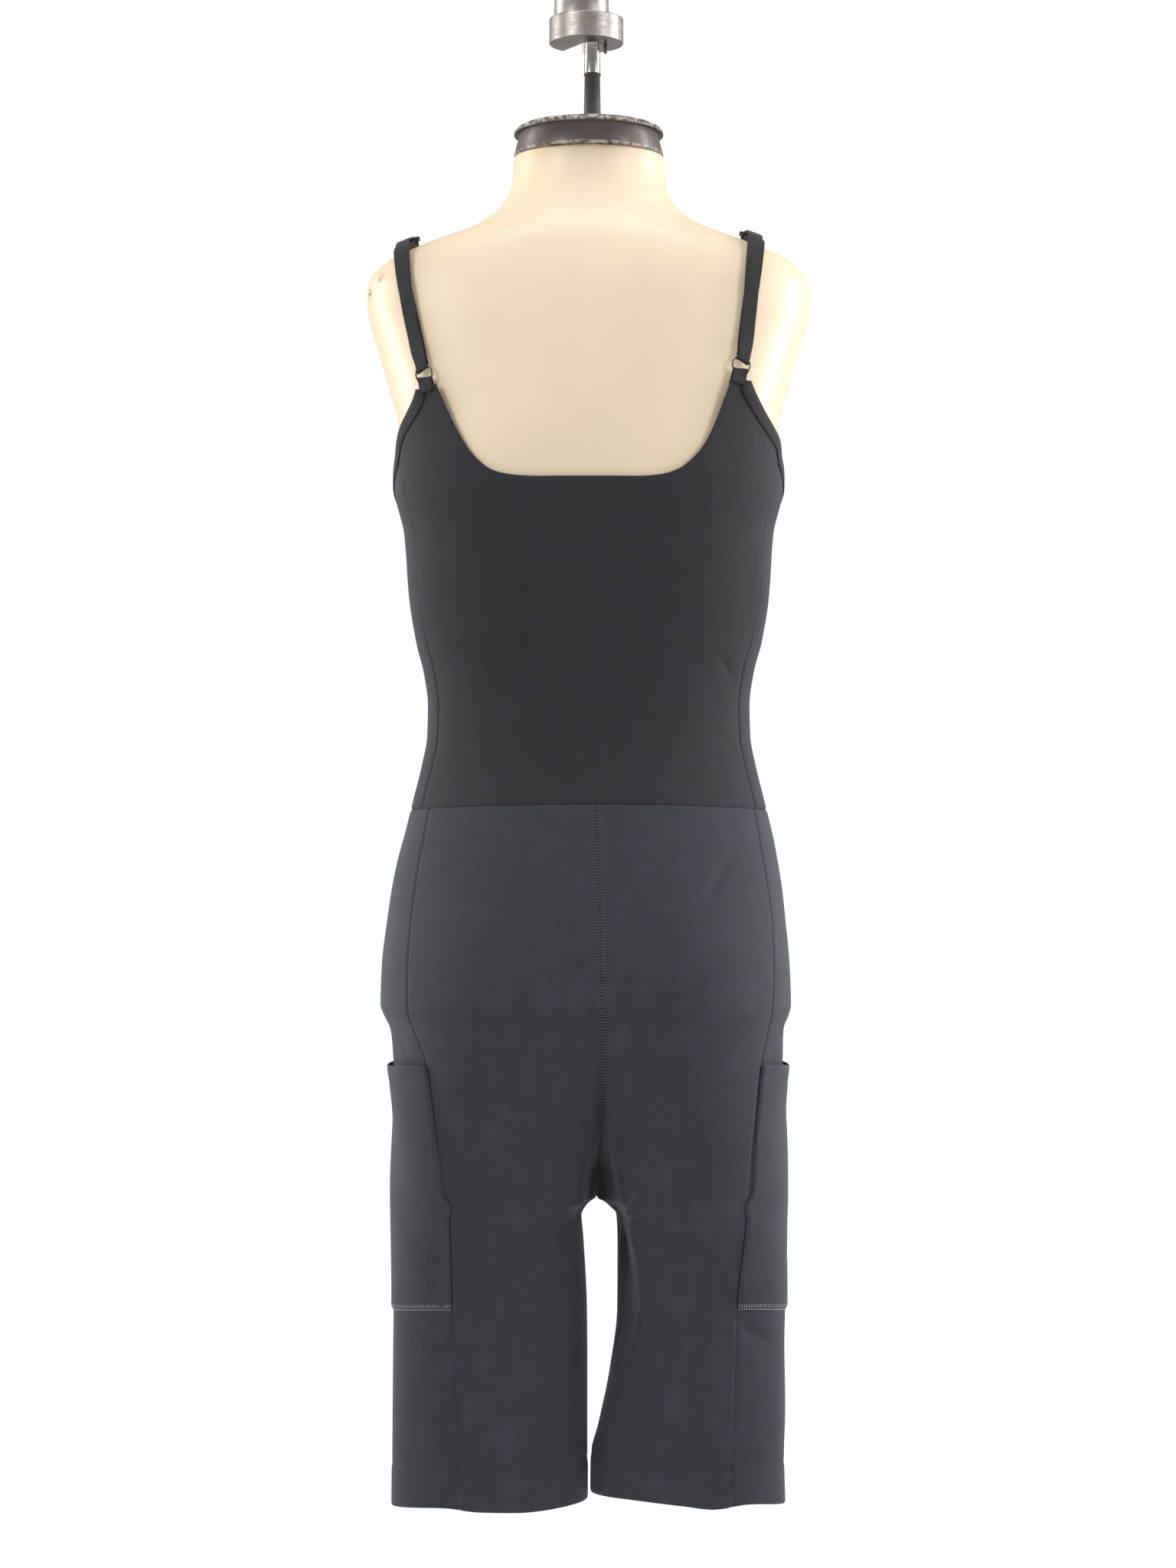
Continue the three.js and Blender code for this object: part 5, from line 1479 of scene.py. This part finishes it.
def addStitches(name, rows, material, slot, width=0.6, height=0.4):
    bm = bmesh.new()
    for starts, ends, outward in rows:
        for start, end, normal in zip(toFrame(starts), toFrame(ends), outward):
            start, end = Vector(start), Vector(end)
            along = end - start
            across = along.cross(Vector(normal)).normalized()
            upward = along.cross(across).normalized()
            turn = Matrix((across * width / 2 * mm, upward * height / 2 * mm, along / 2)).transposed()
            at = Matrix.Translation((start + end) / 2) @ turn.to_4x4()
            bmesh.ops.create_uvsphere(bm, u_segments=6, v_segments=4, radius=1, matrix=at)
    return addPiece(name, bm, material, None, slot)


def between(place, first, last):
    # the starts, ends and outward directions of a row; place(along, height, lift) finds a point
    lift = stitch["lift"]
    return place(*first, lift), place(*last, lift), place(*first, lift + 1) - place(*first, lift)


def hemPlace(side):
    def place(along, height, lift):
        share = shareOf(side, along, height)
        return placeCloth(side, share, risen(side, share, height), hemLift(height) + lift)
    return place


def pocketPlace(side):
    def place(distance, height, lift):
        low, high = besideSeam(side, backSeam, 1)(height), besideSeam(side, frontSeam, -1)(height)
        width = high - low
        rise = pocketLift(np.minimum(distance, width - distance), width, height)
        share = shareOf(side, low + distance, height)
        return placeCloth(side, share, pocketRisen(distance / width, height), rise + lift)
    return place


def sewHems(side):
    stops = np.arange(2, wholeRun(side)(hemStitch) - 3, stitch["pitch"])
    rows = []
    for row in hem["rows"]:
        height = np.full(len(stops), hemStitch + row)
        rows.append(between(hemPlace(side), (stops, height), (stops + stitch["length"], height)))
    return addStitches("hem_stitches_" + sideNames[side], rows, finishes["darkThread"], "shorts_knit")


def sewPocket(side):
    place, name = pocketPlace(side), sideNames[side]
    rows = []
    for row in pocketCut["hem"]:
        height = pocketTop - row
        width = besideSeam(side, frontSeam, -1)(height) - besideSeam(side, backSeam, 1)(height)
        stops = np.arange(2, width - 3, stitch["pitch"])
        height = np.full(len(stops), height)
        rows.append(between(place, (stops, height), (stops + stitch["length"], height)))
    hems = addStitches("pocket_hem_stitches_" + name, rows, finishes["thread"], "shorts_knit")
    low = pocketLock["low"]
    width = besideSeam(side, frontSeam, -1)(low) - besideSeam(side, backSeam, 1)(low)
    stops = np.arange(1, width - 1, pocketLock["pitch"])
    foot, head = np.full(len(stops), low), np.full(len(stops), pocketLock["high"])
    rungs = between(place, (stops, foot), (stops, head))
    stops = np.arange(0.5, width - 3.5, 2.6)
    height = np.full(len(stops), pocketLock["cord"])
    cord = between(place, (stops, height), (stops + 3.2, height))
    lock = addStitches(
        "pocket_flatlock_" + name, [rungs, cord], finishes["greyThread"], "shorts_knit", 0.85, 0.6,
    )
    return [hems, lock]


def sewMiddle():
    # the flat seam down the middle of the seat: slanted threads above, level ones below
    place = {
        side: lambda along, height, lift, side=side: placeCloth(
            side, shareOf(side, along, height), height, lift
        )
        for side in (-1, 1)
    }
    heights = np.arange(264, 577, flatlock["pitch"])
    upper = heights[heights > flatlock["beads"]]
    half = np.full(len(heights), flatlock["half"])
    lift = stitch["lift"]
    slant = np.where(heights > flatlock["beads"], flatlock["slant"], 0)
    left, right = place[-1](half, heights, lift), place[1](half, heights + slant, lift)
    rungs = (left, right, place[-1](half, heights, lift + 1) - left)
    edge = np.full(len(upper), flatlock["half"])
    beads = between(place[1], (edge, upper), (edge, upper + 1.4))
    return addStitches("seat_flatlock", [rungs, beads], finishes["thread"], "shorts_knit", 1, 0.8)


def sewBinding(side):
    outer, inner = bindingRoute(side)
    run = np.concatenate([[0], np.cumsum(np.linalg.norm(np.diff(outer, axis=0), axis=1))])
    rows = []
    for inset in (6.3, 8.5):
        line = outer + (inner - outer) * inset / bindingWidth
        stops = np.arange(4, run[-1] - 4, stitch["pitch"])
        at = lambda d: [np.interp(d, run, column) for column in line.T]
        place = lambda along, height, lift: placeCloth(side, shareOf(side, along, height), height, lift + 0.95)
        rows.append(between(place, at(stops), at(stops + stitch["length"])))
    return addStitches(
        "armhole_stitches_" + sideNames[side], rows, finishes["darkThread"], "bodice_knit", 0.5, 0.4,
    )


def sewTab(side):
    # the row that holds the ring's tab down
    centre, face, up, across = ringFrame(side)
    across = (across - up * side * ringSize["tabTurn"]).normalized()
    at = lambda reach: centre - up * 13.4 + face * 4 + across * reach
    stops = np.arange(-5.4, 4, 1.9)
    rows = [([at(d) for d in stops], [at(d + 1.5) for d in stops], [face] * len(stops))]
    return addStitches("tab_stitches_" + sideNames[side], rows, finishes["darkThread"], "bodice_knit", 0.5, 0.5)


# The cloth's cut, as it shows: width, length and area in metres, how it is held and on what
cuts = {
    "back_bodice": (0.374, 0.348, 0.092, "stretched", ["dress_form"]),
    "front_bodice": (0.605, 0.346, 0.157, "stretched", ["dress_form"]),
    "back_leg_left": (0.175, 0.581, 0.09, "hung", ["back_bodice"]),
    "back_leg_right": (0.182, 0.581, 0.088, "hung", ["back_bodice"]),
    "front_leg_left": (0.17, 0.581, 0.087, "hung", ["front_bodice"]),
    "front_leg_right": (0.176, 0.581, 0.085, "hung", ["front_bodice"]),
    "hip_panel_left": (0.189, 0.581, 0.097, "hung", ["front_bodice", "back_leg_left"]),
    "hip_panel_right": (0.162, 0.581, 0.082, "hung", ["front_bodice", "back_leg_right"]),
    "side_pocket_left": (0.189, 0.204, 0.038, "laid", ["hip_panel_left"]),
    "side_pocket_right": (0.162, 0.204, 0.032, "laid", ["hip_panel_right"]),
    "armhole_trim_left": (0.01, 0.42, None, "folded", ["back_bodice", "front_bodice"]),
    "armhole_trim_right": (0.01, 0.42, None, "folded", ["back_bodice", "front_bodice"]),
    "shoulder_strap_left": (0.0125, 0.536, None, "stretched", ["dress_form", "strap_loop_ring_left"]),
    "shoulder_strap_right": (0.0125, 0.548, None, "stretched", ["dress_form", "strap_loop_ring_right"]),
    "ring_holder_left": (0.0122, 0.028, None, "folded", ["back_bodice", "strap_loop_ring_left"]),
    "ring_holder_right": (0.0122, 0.028, None, "folded", ["back_bodice", "strap_loop_ring_right"]),
}


def declareCloth(sewing):
    for name, (width, length, area, held, restsOn) in cuts.items():
        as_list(sewing.get(name, []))


makeShorts()
makePockets()
print("shorts made")
makeBodice()
makeBindings()
print("bodice made")
makeStraps()
makeForm()
makeRig()
print("straps, form and rig made")
sewing = {"back_leg_right": [sewMiddle()]}
for side in (-1, 1):
    name = sideNames[side]
    sewing["back_leg_" + name] = sewing.get("back_leg_" + name, []) + [sewHems(side)]
    sewing["side_pocket_" + name] = sewPocket(side)
    sewing["armhole_trim_" + name] = [sewBinding(side)]
    sewing["ring_holder_" + name] = [sewTab(side)]
declareCloth(sewing)
print("stitches made:", sum(len(made) for made in sewing.values()), "pieces")


# Floor, light and camera

def addStage():
    bm = bmesh.new()
    bmesh.ops.create_circle(bm, cap_ends=True, segments=128, radius=2.6)
    bmesh.ops.translate(bm, verts=bm.verts[:], vec=(0, 0, -stemTop * mm - 0.7))
    mesh = bpy.data.meshes.new("floor")
    bm.to_mesh(mesh)
    bm.free()
    floor = bpy.data.objects.new("floor", mesh)
    bpy.context.scene.collection.objects.link(floor)
    material, tree, shader = startMaterial("pale_floor")
    setShader(tree, shader, {"Base Color": (0.86, 0.86, 0.86, 1), "Roughness": 0.9})
    mesh.materials.append(material)


lights = {
    # place, size, watts, colour
    "frontLeft": ((-2.4, -2.4, 0.9), (1.1, 1.6), 44, (1, 0.99, 0.97)),
    "frontRight": ((2.6, -1.8, 0.5), (0.9, 1.6), 26, (0.98, 0.99, 1)),
    "sideRight": ((2.3, 0.3, -0.2), (0.6, 1.7), 50, (1, 1, 1)),
    "sideLeft": ((-2.4, 0.6, -0.3), (0.6, 1.7), 38, (1, 1, 1)),
    "top": ((0, -0.6, 1.9), (1.4, 1.4), 26, (1, 1, 1)),
}


backdrop = {"seen": 1.05, "light": 0.47}


def addLights():
    for name, (place, size, watts, colour) in lights.items():
        light = bpy.data.lights.new(name, "AREA")
        light.shape = "RECTANGLE"
        light.size, light.size_y = size
        light.energy = watts
        light.color = colour
        lamp = bpy.data.objects.new(name, light)
        lamp.location = place
        aim = Vector((0, 0, -0.55)) - lamp.location
        lamp.rotation_euler = aim.to_track_quat("-Z", "Y").to_euler()
        bpy.context.scene.collection.objects.link(lamp)
    world = bpy.data.worlds.new("studio")
    world.use_nodes = True
    # the backdrop is white to the camera, and lights the piece more softly
    seen = addNode(world.node_tree, "LightPath", {}, "Is Camera Ray")
    background = world.node_tree.nodes["Background"]
    background.inputs["Color"].default_value = (1, 1, 1, 1)
    strength = ranged(world.node_tree, seen, 0, 1, backdrop["light"], backdrop["seen"])
    world.node_tree.links.new(strength, background.inputs["Strength"])
    bpy.context.scene.world = world


def addCamera():
    camera = bpy.data.cameras.new("camera")
    camera.sensor_fit = "VERTICAL"
    camera.sensor_height = 36
    camera.lens = 75.24
    camera.shift_y = 0.0371
    camera.clip_end = 60
    view = bpy.data.objects.new("camera", camera)
    view.location = (-0.0006, -2.74, -0.721)
    view.rotation_euler = (math.pi / 2, 0, 0)
    bpy.context.scene.collection.objects.link(view)
    bpy.context.scene.camera = view
    bpy.context.scene.view_settings.view_transform = "Standard"


addStage()
addLights()
addCamera()
print("stage set")
